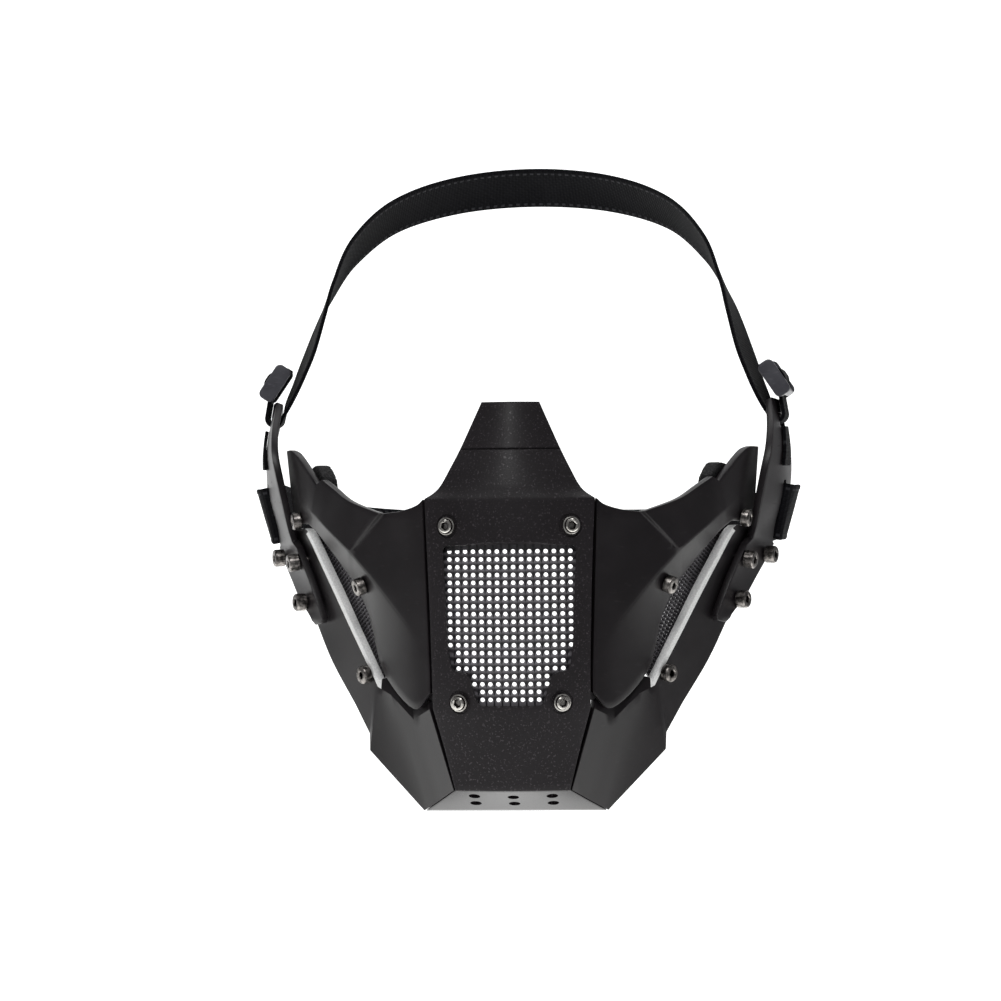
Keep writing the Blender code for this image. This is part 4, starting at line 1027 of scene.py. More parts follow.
@dataclass(frozen=True)
class CentreShell:
    """Nose piece, mouth panel, chin facet and underside in one moulding.

    The groove pairs a row's height over its middle, in groove widths, with a share of its
    depth. The window's rim pairs a way to the front, in walls, with a share of the flare.
    """

    curve: float = 1.7
    columns: int = 48
    steps: int = 6
    corners: tuple[int, ...] = (6, 11, 13)
    normal_step: float = 0.5
    groove_height: float = -8.3
    groove_width: float = 0.0005
    groove_depth: float = 0.0006
    groove: tuple[tuple[float, int], ...] = ((2, 0), (0.7, 0), (0.35, 1), (-0.35, 1), (-0.7, 0),
                                             (-2, 0))
    window_row: int = 8
    window_round: float = 0.0022
    window_flare: float = 0.0013
    window_reach: float = 0.020
    window_rim: tuple[tuple[float, float], ...] = ((0, 0), (0.7, 0.12), (1.4, 0.45), (2, 1))
    corner_steps: int = 6
    underside_row: int = 13
    vent_radius: float = 0.0021
    vent_pitch: float = 0.0142
    vent_rows: tuple[float, ...] = (0.32, 0.64)
    vent_reach: float = 0.010
    seat_radius: float = 0.0042
    seat_sink: float = 0.0005
    seat_flare: float = 0.0004
    seat_reach: float = 0.006
    seat_sides: int = 40
    lap_steps: int = 12
    lap_gap: float = 0.0003
    lap_wall: float = 0.0010
    lap_columns: int = 4
    lap_row: int = 3

    def depth(self, row: CentreRow, share: float) -> float:
        """Depth across a row: ridge in the middle, edge at the sides."""
        return row.ridge + (row.edge - row.ridge) * abs(share) ** self.curve

    def row_at(self, z: float) -> CentreRow:
        """The row at a height share."""
        for high, low in zip(CENTRE_ROWS, CENTRE_ROWS[1:]):
            if high.z >= z >= low.z:
                t = (high.z - z) / (high.z - low.z)
                return CentreRow(*[a + (b - a) * t for a, b in zip(high, low)])
        return CENTRE_ROWS[-1]

    def point(self, x: float, z: float) -> Vector:
        """Point of the outer face at a width share and a height share."""
        row = self.row_at(z)
        return at(x, self.depth(row, x / row.half), z)

    def normal(self, x: float, z: float) -> Vector:
        """Outward normal there."""
        step = self.normal_step
        across = self.point(x + step, z) - self.point(x - step, z)
        up = self.point(x, z + step) - self.point(x, z - step)
        return across.cross(up).normalized()

    def grid(self) -> Grid:
        """Outer face, with a shallow groove across the nose."""
        rows = []
        for row in CENTRE_ROWS:
            line = []
            for column in range(self.columns + 1):
                share = 2 * column / self.columns - 1
                line.append(at(row.half * share, self.depth(row, share), row.z))
            rows.append(line)
        return self.grooved(Grid(rows).refined(self.steps, self.corners))

    def grooved(self, grid: Grid) -> Grid:
        """The grid with four more rows that draw the groove across the nose."""
        height = FACE_DROP * self.groove_height / 100
        for number, (high, low) in enumerate(zip(grid.rows, grid.rows[1:])):
            if high[0].z >= height > low[0].z:
                break
        extra = []
        for rise, sink in self.groove:
            line = []
            for top, foot in zip(grid.rows[number - 1], grid.rows[number + 2]):
                t = (top.z - height - rise * self.groove_width) / (top.z - foot.z)
                line.append(top.lerp(foot, t) + Vector((0, sink * self.groove_depth, 0)))
            extra.append(line)
        return Grid(grid.rows[:number] + extra + grid.rows[number + 2:])

    def window_outline(self, spread: float) -> list[Vector]:
        """Closed window outline with rounded corners.

        Args:
            spread: How far outside the drawn outline it runs, in metres.

        Returns:
            Points in the plane of width and height.
        """
        right = [Vector((HALF_WIDTH * x / 100, 0, FACE_DROP * z / 100)) for x, z in WINDOW_HALF]
        corners = right + [Vector((-p.x, 0, p.z)) for p in reversed(right)]
        outline = []
        for k, here in enumerate(corners):
            before = corners[k - 1] - here
            after = corners[(k + 1) % len(corners)] - here
            reach = min(self.window_round, before.length / 3, after.length / 3)
            start = here + before.normalized() * reach
            end = here + after.normalized() * reach
            for step in range(self.corner_steps + 1):
                t = step / self.corner_steps
                outline.append(start.lerp(here, t).lerp(here.lerp(end, t), t))
        moved = []
        for k, here in enumerate(outline):
            way = outline[(k + 1) % len(outline)] - outline[k - 1]
            moved.append(here + Vector((-way.z, 0, way.x)).normalized() * spread)
        return moved

    def window_cutter(self) -> Cutter:
        """Prism through the mouth panel whose rim flares to the front in a round."""
        row = CENTRE_ROWS[self.window_row]
        front = DEPTH * row.ridge / 100 - self.window_reach
        back = DEPTH * row.edge / 100 + self.window_reach
        foot = DEPTH * row.edge / 100 - SHELL_WALL
        rim = [(foot - SHELL_WALL * walls, spread) for walls, spread in self.window_rim]
        rings = []
        for depth, spread in [(back, 0), *rim, (front, 1)]:
            outline = self.window_outline(self.window_flare * spread)
            rings.append([point + Vector((0, depth, 0)) for point in outline])
        return Cutter(lofted(rings))

    def vent_frames(self) -> list[Matrix]:
        """Frames of the six holes through the underside."""
        front, back = CENTRE_ROWS[self.underside_row], CENTRE_ROWS[-1]
        start, end = at(0, front.ridge, front.z), at(0, back.ridge, back.z)
        slope = (end - start).normalized()
        normal = Vector((1, 0, 0)).cross(slope)
        frames = []
        for share in self.vent_rows:
            for column in (-1, 0, 1):
                point = start.lerp(end, share) + Vector((column * self.vent_pitch, 0, 0))
                frames.append(frame_at(point, -normal, slope))
        return frames

    def laps(self) -> list[Grid]:
        """Flanges behind the seams: where cheeks and jaws lie on the moulding's back."""
        inner = self.grid().moved(SHELL_WALL, inward)
        under = (len(CENTRE_ROWS) - 1 - self.underside_row) * self.steps + 1
        found = []
        for side in Side:
            own = inner.rows if side is Side.RIGHT else [line[::-1] for line in inner.rows]
            edge = [line[-1] for line in own]
            inset = [line[-self.lap_columns] for line in own]
            cheek = Cheek(side).fine().moved(SHELL_WALL, inward).rows[self.lap_row]
            jaw = Jaw(side)
            inside = jaw.coarse.refined(jaw.steps, jaw.corners).moved(JAW_WALL, inward).rows
            chin = [line[-2] for line in inside[:jaw.chin_sections * jaw.steps + 1]]
            top = [k for k, point in enumerate(edge) if point.z > cheek[0].z][-1]
            foot = [k for k, point in enumerate(edge) if point.z > cheek[-1].z][-1]
            found.append(self.lap(inset[top:foot], cheek))
            found.append(self.lap(inset[foot:-under - 1], inside[1][1:]))
            found.append(self.lap(inset[-under:], chin))
        return found

    def lap(self, near: Sequence[Vector], far: Sequence[Vector]) -> Grid:
        """Flange between two lines of points on the inner faces."""
        rows = []
        for k in range(self.lap_steps + 1):
            start = along_line(near, k / self.lap_steps)
            end = along_line(far, k / self.lap_steps)
            sink = towards_core(start) * self.lap_gap
            rows.append([start.lerp(end, share) + sink for share in (0, 0.5, 1)])
        return Grid(rows)

    def build(self) -> None:
        """Make the shell with its window, seats and vents."""
        outer = self.grid()
        bm = walled(outer, outer.moved(SHELL_WALL, inward))
        shell = add_piece("centre_moulding", bm, TEXTURED, ["centre_shell"])
        self.window_cutter().taken_from(shell)
        reach = self.vent_reach
        for matrix in self.vent_frames():
            rod_cutter(matrix, self.vent_radius, -reach, reach).taken_from(shell)
        for x, z in FRONT_SCREWS:
            for side in Side:
                matrix = frame_at(self.point(x * side.value, z), self.normal(x * side.value, z))
                seat = rod_cutter(matrix, self.seat_radius, -self.seat_sink, self.seat_reach,
                                  self.seat_flare, self.seat_sides)
                seat.taken_from(shell)
        self.join_laps(shell)
        dress(shell, TEXTURED)

    def join_laps(self, shell: bpy.types.Object) -> None:
        """Add the flanges to the shell's mesh."""
        bm = bmesh.new()
        bm.from_mesh(shell.data)
        for grid in self.laps():
            part = walled(grid, grid.moved(self.lap_wall, inward), self.lap_wall / 4)
            mesh = bpy.data.meshes.new("lap")
            part.to_mesh(mesh)
            part.free()
            bm.from_mesh(mesh)
            bpy.data.meshes.remove(mesh)
        bm.to_mesh(shell.data)
        bm.free()


@dataclass(frozen=True)
class SheetPattern:
    """Field of round holes: how many across and along, and their share of a cell.

    Each hole has a narrow ring round it with a painted highlight: whole on the side where the
    count of rows starts, by the upper share on the other, and by the line share between two rows.
    """

    columns: int
    rows: int
    hole_share: float
    sides: int = 16
    wall: float = 0.0008
    rim_share: float = 0.10
    line_highlight: float = 0.62
    upper_highlight: float = 0.45
    touch: float = 1e-5

    def flat(self, is_open: Callable[[float, float], bool]) -> bmesh.types.BMesh:
        """Flat sheet on the unit square, its open cells pierced by a round hole.

        Args:
            is_open: Says of a cell's middle whether it has a hole.

        Returns:
            The sheet, one layer thick.
        """
        bm = self.cell()
        for count, way in ((self.columns, Vector((1, 0, 0))), (self.rows, Vector((0, 1, 0)))):
            first = bm.verts[:] + bm.edges[:] + bm.faces[:]
            for number in range(1, count):
                copy = bmesh.ops.duplicate(bm, geom=first)["geom"]
                verts = [item for item in copy if isinstance(item, bmesh.types.BMVert)]
                bmesh.ops.translate(bm, vec=way * number, verts=verts)
        bmesh.ops.remove_doubles(bm, verts=bm.verts, dist=self.touch * 10)
        shut = []
        for edge in bm.edges:
            middle = (edge.verts[0].co + edge.verts[1].co) / 2
            u, v = middle.x / self.columns, middle.y / self.rows
            rim = min(u, v) < self.touch or max(u, v) > 1 - self.touch
            if edge.is_boundary and not rim and not is_open(*self.cell_middle(middle)):
                shut.append(edge)
        bmesh.ops.holes_fill(bm, edges=shut, sides=self.sides)
        scale = Matrix.Diagonal((1 / self.columns, 1 / self.rows, 1, 1))
        bmesh.ops.transform(bm, matrix=scale, verts=bm.verts)
        return bm

    def thicken(self, bm: bmesh.types.BMesh, direction: Callable[[Vector], Vector]) -> None:
        """Give a laid sheet its wall, in the direction that each point gets."""
        made = bmesh.ops.extrude_face_region(bm, geom=bm.faces[:], use_keep_orig=True)["geom"]
        for vertex in made:
            if isinstance(vertex, bmesh.types.BMVert):
                vertex.co += direction(vertex.co) * self.wall
        bmesh.ops.recalc_face_normals(bm, faces=bm.faces)

    def cell_middle(self, point: Vector) -> tuple[float, float]:
        """Shares of the middle of the cell that holds a point counted in cells."""
        return ((math.floor(point.x) + 0.5) / self.columns,
                (math.floor(point.y) + 0.5) / self.rows)

    def cell(self) -> bmesh.types.BMesh:
        """One cell on the unit square, with a hole that has a narrow rim."""
        bm = bmesh.new()
        rubbed = bm.verts.layers.float.new("rubbed")
        matrix = Matrix.Translation((0.5, 0.5, 0))
        square = bmesh.ops.create_grid(bm, x_segments=self.sides // 4,
                                       y_segments=self.sides // 4, size=0.5, matrix=matrix)
        inside = [v for v in square["verts"] if all(not e.is_boundary for e in v.link_edges)]
        bmesh.ops.delete(bm, geom=inside, context="VERTS")
        for vertex in bm.verts:
            between = vertex.co.y < self.touch or vertex.co.y > 1 - self.touch
            # Painted highlight on the lines between two rows.
            vertex[rubbed] = self.line_highlight * between
        middle = matrix.translation
        edges = bm.edges[:]
        for radius in (0.5 * self.hole_share + self.rim_share, 0.5 * self.hole_share):
            made = bmesh.ops.extrude_edge_only(bm, edges=edges)["geom"]
            edges = [item for item in made if isinstance(item, bmesh.types.BMEdge)]
            for vertex in {vertex for edge in edges for vertex in edge.verts}:
                vertex.co = middle + (vertex.co - middle).normalized() * radius
                # Painted highlight on the ring: whole on the half towards the first row, weaker on
                # the other half.
                vertex[rubbed] = 1 if vertex.co.y < middle.y else self.upper_highlight
        return bm


def is_clear(spot: Vector, outline: Sequence[Vector], margin: float) -> bool:
    """Whether a point of the plane of width and height lies well inside a closed outline."""
    inside = False
    for start, end in zip(outline, [*outline[1:], outline[0]]):
        way = end - start
        share = min(max((spot - start).dot(way) / max(way.length_squared, 1e-12), 0), 1)
        if (spot - start - way * share).length < margin:
            return False
        if (start.z > spot.z) != (end.z > spot.z):
            inside ^= spot.x < start.x + way.x * (spot.z - start.z) / way.z
    return inside


@dataclass(frozen=True)
class FrontSheet:
    """Perforated sheet behind the window of the centre shell.

    The field of holes fills a share of the window's width and height. Plain borders reach
    past the window at the sides and the foot, and further at the top.
    """

    fill: tuple[float, float] = (0.965, 0.975)
    border: float = 3.6
    top_border: float = 10.6
    setback: float = 1.16
    hole_margin: float = 0.72
    pattern: SheetPattern = SheetPattern(16, 20, 0.56)

    def build(self, centre: CentreShell) -> None:
        """Make the sheet: a pierced field and plain borders, laid on the back of the shell."""
        top, foot = WINDOW_HALF[0][1], WINDOW_HALF[-1][1]
        half = WINDOW_HALF[0][0] * self.fill[0]
        tall = (top - foot) * self.fill[1]
        middle = (top + foot) / 2
        outline = centre.window_outline(0.0)
        radius = HALF_WIDTH / 100 * half / self.pattern.columns * self.pattern.hole_share

        def is_open(u: float, v: float) -> bool:
            """Cells whose whole hole shows in the window."""
            spot = Vector((HALF_WIDTH * half * (2 * u - 1) / 100, 0,
                           FACE_DROP * (middle + tall * (v - 0.5)) / 100))
            return is_clear(spot, outline, radius * self.hole_margin)

        bm = self.pattern.flat(is_open)
        touch = self.pattern.touch
        setback = Vector((0, SHELL_WALL * self.setback + FIT_GAP * 2, 0))
        for vertex in bm.verts:
            x = half * (2 * vertex.co.x - 1)
            z = middle + tall * (vertex.co.y - 0.5)
            if not touch < vertex.co.x < 1 - touch:
                x *= (half + self.border) / half
            if vertex.co.y < touch:
                z = foot - self.border
            elif vertex.co.y > 1 - touch:
                z = top + self.top_border
            vertex.co = centre.point(x, z) + setback
        self.pattern.thicken(bm, lambda point: Vector((0, 1, 0)))
        add_piece("window_sheet", bm, STEEL, ["front_mesh"])


@dataclass
class Cheek:
    """Cheek moulding: inner panel, step and wing.

    Screws lie at a fractional section and a share across.
    """

    side: Side
    steps: int = 6
    cross_steps: int = 3
    corners: tuple[int, ...] = (3, 4)
    crest_round: float = 0.05
    upper_face: tuple[float, ...] = (0.36, 0.70)
    lower_face: float = 0.6
    coarse_steps: int = 2
    blade_screw: tuple[float, float] = (3.35, 0.82)
    wing_screw: tuple[float, float] = (6.40, 0.95)
    coarse: Grid = field(init=False)

    def __post_init__(self) -> None:
        """Make the coarse grid that places the screws."""
        self.coarse = Grid(self.lines(CHEEK_INNER, self.coarse_steps) + self.lines(CHEEK_WING, 1))

    def line(self, section: CheekSection) -> list[Vector]:
        """Points across the cheek, rounded over the crest."""
        eye, crest, lower = [flip(at(*corner), self.side) for corner in section]
        before = crest.lerp(eye, self.crest_round)
        after = crest.lerp(lower, self.crest_round * 2)
        middle = (before + after) / 4 + crest / 2
        upper = [eye.lerp(crest, share) for share in self.upper_face]
        return [eye, *upper, before, middle, after, crest.lerp(lower, self.lower_face), lower]

    def lines(self, sections: Sequence[CheekSection], steps: int,
              corners: Sequence[int] = ()) -> Rows:
        """Rows of one stretch of the cheek."""
        return Grid([self.line(section) for section in sections]).refined(steps, corners).rows

    def fine(self) -> Grid:
        """The outer face, fine enough to be seen."""
        rows = self.lines(CHEEK_INNER, self.steps)
        rows += self.lines(CHEEK_WING, self.steps, self.corners)
        return Grid(rows).crossed().refined(self.cross_steps).crossed()

    def build(self) -> None:
        """Make the moulding."""
        outer = self.fine()
        bm = walled(outer, outer.moved(SHELL_WALL, inward))
        add_piece("cheek_moulding_" + self.side.tag, bm, SMOOTH,
                  ["cheek_" + self.side.tag], SHARP_PANEL)

    def screw_frames(self) -> dict[str, Matrix]:
        """Frames of the two screws, by the name of their solids."""
        wing_start = (len(CHEEK_INNER) - 1) * self.coarse_steps + 1
        places = {"blade_screw_": (self.blade_screw[0] * self.coarse_steps, self.blade_screw[1]),
                  "wing_screw_": (wing_start + self.wing_screw[0], self.wing_screw[1])}
        return {label + self.side.tag: self.coarse.frame(*spot) for label, spot in places.items()}


def opening_edge(side: Side) -> list[Vector]:
    """Corners of a jaw's edge along the side opening."""
    return [flip(at(*section.top), side) for section in JAW_SECTIONS[OPENING_SECTIONS]]


@dataclass
class Jaw:
    """Jaw moulding: tucked edge, bend and flat facets.

    The screw lies at a fractional section and a share across. The chin sections are the
    stretches that lie behind the centre shell's underside.
    """

    side: Side
    columns: int = 9
    coarse_columns: int = 3
    steps: int = 4
    corners: tuple[int, ...] = (1, 2, 3, 4, 5)
    chin_sections: int = 2
    edge_reach: float = 0.9
    screw: tuple[float, float] = (4.90, 0.33)
    coarse: Grid = field(init=False)

    def __post_init__(self) -> None:
        """Make the coarse grid that places the screw."""
        self.coarse = self.grid(self.coarse_columns)

    def grid(self, columns: int) -> Grid:
        """Outer face with a number of columns below the bend."""
        rows = []
        for section in JAW_SECTIONS:
            top, bend, lower = [flip(at(*corner), self.side) for corner in section]
            rows.append([top] + [bend.lerp(lower, k / columns) for k in range(columns + 1)])
        return Grid(rows)

    def is_cut_edge(self, point: Vector) -> bool:
        """Whether a rim point lies on the edge along the opening that gets a painted highlight."""
        line = opening_edge(self.side)
        for start, end in zip(line, line[1:]):
            way = end - start
            share = min(max((point - start).dot(way) / way.length_squared, 0), 1)
            if (point - start - way * share).length < JAW_WALL * self.edge_reach:
                return True
        return False

    def build(self) -> None:
        """Make the moulding."""
        outer = self.grid(self.columns).refined(self.steps, self.corners)
        bm = walled(outer, outer.moved(JAW_WALL, inward), marked=self.is_cut_edge)
        add_piece("jaw_moulding_" + self.side.tag, bm, SMOOTH,
                  ["jaw_" + self.side.tag], SHARP_FACET)

    def screw_frame(self) -> Matrix:
        """Frame of the screw under the opening."""
        return self.coarse.frame(*self.screw)


def along_line(points: Sequence[Vector], share: float) -> Vector:
    """Point at a share of a polyline's length."""
    lengths = [(end - start).length for start, end in zip(points, points[1:])]
    left = share * sum(lengths)
    for start, end, length in zip(points, points[1:], lengths):
        if left <= length:
            return start.lerp(end, left / length)
        left -= length
    return points[-1].copy()


@dataclass(frozen=True)
class SideSheet:
    """Fine perforated strip behind the gap between blade and jaw.

    Its setbacks are walls behind the blade and behind the jaw.
    """

    side: Side
    first_blade: int = 2
    last_wing: int = 5
    start: float = 0.03
    overlap: float = 0.0035
    setback: tuple[float, float] = (1.35, 1.25)
    pattern: SheetPattern = SheetPattern(9, 44, 0.66)

    def point(self, u: float, v: float) -> Vector:
        """Point of the strip at shares across and along."""
        sections = CHEEK_INNER[self.first_blade:] + CHEEK_WING[1:self.last_wing]
        blade = [flip(at(*section.lower), self.side) for section in sections]
        share = self.start + (1 - self.start) * v
        front = along_line(blade, share)
        back = along_line(opening_edge(self.side), share)
        front += towards_core(front) * (SHELL_WALL * self.setback[0] + FIT_GAP * 2)
        back += towards_core(back) * (JAW_WALL * self.setback[1] + FIT_GAP * 2)
        reach = (back - front).normalized() * self.overlap
        return (front - reach).lerp(back + reach, u)

    def build(self) -> None:
        """Make the strip."""
        bm = self.pattern.flat(lambda u, v: True)
        for vertex in bm.verts:
            vertex.co = self.point(vertex.co.x, vertex.co.y)
        self.pattern.thicken(bm, towards_core)
        add_piece("cheek_sheet_" + self.side.tag, bm, STEEL,
                  ["side_mesh_" + self.side.tag])


@dataclass
class Arm:
    """Side arm with its screws and strap slots.

    Screws and slots lie at a fractional row and a share from front to back. The rows that
    are seated on the jaw are flat, and the bow belongs to the others.
    """

    side: Side
    columns: int = 16
    coarse_columns: int = 4
    steps: int = 4
    corners: tuple[int, ...] = (1, 5, 6)
    bow: float = 0.0012
    seated_rows: int = 8
    screws: tuple[tuple[float, float], ...] = ((3.85, 0.16), (3.97, 0.86), (1.88, 0.70))
    upper_slot: tuple[float, float] = (11.37, 0.62)
    lower_slot: tuple[float, float] = (7.45, 0.74)
    slot_height: float = 0.0052
    slot_play: float = 0.0012
    slot_flare: float = 0.0004
    slot_sides: int = 16
    slot_power: float = 0.25
    coarse: Grid = field(init=False)

    def __post_init__(self) -> None:
        """Make the coarse outer face that places what sits on the arm."""
        self.coarse = self.inner(self.coarse_columns, 1).moved(ARM_WALL, outward)

    def inner(self, columns: int, steps: int) -> Grid:
        """Inner face, slightly bowed outward above the jaw."""
        rows = []
        for row in ARM_ROWS:
            front = at(row.front[0], row.front[1], row.z)
            back = at(row.back[0], row.back[1], row.z)
            seated = row.z < ARM_ROWS[self.seated_rows].z
            out = Vector((back.y - front.y, front.x - back.x, 0)).normalized()
            line = []
            for column in range(columns + 1):
                share = column / columns
                bow = 0 if seated else self.bow * math.sin(math.pi * share)
                line.append(flip(front.lerp(back, share) + out * (bow + FIT_GAP), self.side))
            rows.append(line)
        return Grid(rows).refined(steps, self.corners)

    def slot_cutter(self, place: tuple[float, float], wide: float, tall: float) -> Cutter:
        """Rounded rectangular guide through the arm, with a flared mouth."""
        rings = []
        for walls, spread in ((-3, 0), (-0.3, 0), (0, self.slot_flare), (3, self.slot_flare)):
            height = ARM_WALL * walls
            ring = []
            for k in range(self.slot_sides):
                turn = math.tau * (k + 0.5) / self.slot_sides
                x = math.copysign(abs(math.cos(turn)) ** self.slot_power, math.cos(turn))
                y = math.copysign(abs(math.sin(turn)) ** self.slot_power, math.sin(turn))
                ring.append(Vector((x * (wide / 2 + spread), y * (tall / 2 + spread), height)))
            rings.append(ring)
        bm = lofted(rings)
        bmesh.ops.transform(bm, matrix=self.coarse.frame(*place), verts=bm.verts)
        return Cutter(bm)

    def build(self) -> None:
        """Make the arm."""
        inner = self.inner(self.columns, self.steps)
        bm = walled(inner.moved(ARM_WALL, outward), inner, EDGE_ROUND * 1.5)
        arm = add_piece("arm_moulding_" + self.side.tag, bm, SMOOTH,
                        ["arm_" + self.side.tag], SHARP_PANEL)
        upper, lower = UPPER_WIDTH + self.slot_play * 2, LOWER_WIDTH + self.slot_play * 2
        self.slot_cutter(self.upper_slot, upper, self.slot_height).taken_from(arm)
        self.slot_cutter(self.lower_slot, self.slot_height, lower).taken_from(arm)
        dress(arm, SMOOTH, SHARP_PANEL)

    def screw_frames(self) -> dict[str, Matrix]:
        """Frames of the three cap screws, by the name of their solids."""
        return {"arm_screw_%s_%d" % (self.side.tag, number + 1): self.coarse.frame(*place)
                for number, place in enumerate(self.screws)}


@dataclass(frozen=True)
class SocketScrew:
    """Socket screw with its head's seat at the frame's origin.

    The rounds are pairs: how far inside a rim and how far under its top each point lies. The
    socket's mouth pairs a height over the head's top with a share of its chamfer.
    """

    head_radius: float = 0.0033
    head_height: float = 0.0040
    socket: float = 0.00150
    socket_depth: float = 0.0019
    shank_radius: float = 0.0015
    shank_length: float = 0.0070
    collar: float = 0.0
    collar_inset: float = 0.74
    knurls: int = 0
    knurl_start: float = 0.985
    knurl_depth: float = 0.965
    sides: int = 48
    socket_chamfer: float = 0.0004
    socket_mouth: tuple[tuple[float, float], ...] = ((-0.0003, 0), (0.0001, 1), (0.001, 1))
    socket_turn: float = 0.3
    cap_round: tuple[tuple[float, float], ...] = ((0.0009, 0), (0.0004, 0.0001), (0.0001, 0.0004),
                                                  (0, 0.0007))
    head_round: tuple[tuple[float, float], ...] = ((0.0007, 0), (0.0003, 0.0001), (0, 0.0004))
    groove_round: tuple[tuple[float, float], ...] = ((0, 0.0004), (-0.0002, 0.0004), (-0.0003, 0))
    collar_round: tuple[tuple[float, float], ...] = ((0.0004, 0), (0.0001, 0.0001), (0, 0.0004))
    seat_round: float = 0.0002

    def profile(self) -> Profile:
        """Radius and height pairs from the top of the head down to the tip."""
        top = FIT_GAP + self.head_height
        rims = [(self.head_radius, top, self.cap_round)]
        if self.collar:
            head = self.head_radius * self.collar_inset
            step = FIT_GAP + self.collar
            rims = [(head, top, self.head_round), (head, step, self.groove_round),
                    (self.head_radius, step, self.collar_round)]
        line = [(radius - inset, height - drop) for radius, height, points in rims
                for inset, drop in points]
        return [(0, top), *line, (self.head_radius, FIT_GAP + self.seat_round),
                (self.head_radius - self.seat_round, FIT_GAP), (self.shank_radius, FIT_GAP),
                (self.shank_radius, -self.shank_length), (0, -self.shank_length)]

    def build(self, name: str, matrix: Matrix, finish: Finish, slot: Slot) -> None:
        """Make the screw on a frame in place of the solid of that name.

        Args:
            name: Name of the solid that it replaces.
            matrix: Frame on the surface, Z outward.
            finish: Its metal.
            slot: Not used.
        """
        bm = turned(self.profile(), self.sides)
        if self.knurls:
            side = self.head_radius * self.knurl_start
            for vertex in bm.verts:
                reach = vertex.co.xy.length
                turn = math.atan2(vertex.co.y, vertex.co.x)
                if reach > side and math.cos(turn * self.knurls) < 0:
                    vertex.co.xy *= self.knurl_depth
        bmesh.ops.transform(bm, matrix=matrix, verts=bm.verts)
        screw = add_piece("cap_" + name, bm, finish, [name], SHARP_SCREW)
        self.socket_cutter(matrix).taken_from(screw)
        dress(screw, finish, SHARP_SCREW)

    def socket_cutter(self, matrix: Matrix) -> Cutter:
        """Six-sided guide with a chamfer at its mouth."""
        top = FIT_GAP + self.head_height
        turns = [math.tau * k / 6 + self.socket_turn for k in range(6)]
        rings = []
        for rise, share in ((-self.socket_depth, 0), *self.socket_mouth):
            radius = self.socket + self.socket_chamfer * share
            rings.append([Vector((radius * math.cos(turn), radius * math.sin(turn), top + rise))
                          for turn in turns])
        bm = lofted(rings)
        bmesh.ops.transform(bm, matrix=matrix, verts=bm.verts)
        return Cutter(bm)


def bend(centre: tuple[float, float], radius: float, start: float, end: float,
         flatten: float = 1.0) -> Profile:
    """Points of an arc in a plane of (along, out), angles in degrees from the out direction."""
    points = []
    for step in range(BEND_STEPS + 1):
        turn = math.radians(start + (end - start) * step / BEND_STEPS)
        points.append((centre[0] + radius * math.sin(turn) * flatten,
                       centre[1] + radius * math.cos(turn)))
    return points


class Route(NamedTuple):
    """Middle line of a strap and its width direction at each point."""

    points: list[Vector]
    leans: list[Vector]

    def whole(self) -> Route:
        """The right half joined to its mirror image at the back."""
        points = self.points + [flip(p, Side.LEFT) for p in reversed(self.points[:-1])]
        leans = self.leans + [flip(w, Side.LEFT) for w in reversed(self.leans[:-1])]
        return Route(points, leans)


def laid_out(matrix: Matrix, along: int, plan: Profile) -> list[Vector]:
    """Points in space for a plan of (along, out) pairs on a frame."""
    turn = matrix.to_3x3()
    way, out = turn.col[along].copy(), turn.col[2]
    if along == 0 and way.y < 0:
        way.negate()
    return [matrix.translation + way * a + out * b for a, b in plan]


def tail_frame(matrix: Matrix) -> Matrix:
    """Frame of the tail: from the knee above the arm's top it leans inward."""
    knee = Matrix.Translation((0, TAIL_KNEE, WEBBING / 2 + TAIL_GAP))
    lean = Matrix.Rotation(math.radians(-TAIL_LEAN), 4, "X")
    return matrix @ knee @ lean


def upper_route(slider: Slider) -> Route:
    """Right half of the upper strap: tail, slider, arm slot and crown."""
    arm = slider.arm
    matrix = arm.coarse.frame(*arm.upper_slot)
    tail = tail_frame(matrix)
    radius = (WEBBING + slider.thick) / 2 + FIT_GAP
    pitch = slider.bar + slider.slot
    high = slider.height - TAIL_KNEE + pitch / 2
    low = high - pitch
    plan = [(TAIL_RISE - TAIL_KNEE, 0.0)]
    plan += bend((high + radius, radius), radius, 180, 270)
    plan += bend((high - radius, radius), radius, 90, 0)[1:]
    plan += bend((low + radius, radius), radius, 0, -90)
    plan += bend((low - radius, radius), radius, 90, 180)[1:]
    points = laid_out(tail, 1, plan)
    leans = [tail.to_3x3().col[0].copy() for _ in points]
    inner = WEBBING / 2 + TAIL_GAP
    lip = arm.slot_height / 2
    turn_radius = inner + ARM_WALL / 2
    plan = [(TAIL_KNEE, inner)]
    plan += bend((lip, -ARM_WALL / 2), turn_radius, 0, -90)
    plan += bend((lip, -ARM_WALL / 2), turn_radius, -90, -180)[1:]
    points += laid_out(matrix, 1, plan)
    leans += [matrix.to_3x3().col[0].copy() for _ in plan]
    route = to_middle([points[-1]] + [at(*corner) for corner in UPPER_ROUTE])
    turns = to_middle([leans[-1]] + [Vector(lean) for lean in UPPER_LEAN])
    return Route(points[:-1] + route, leans[:-1] + turns)


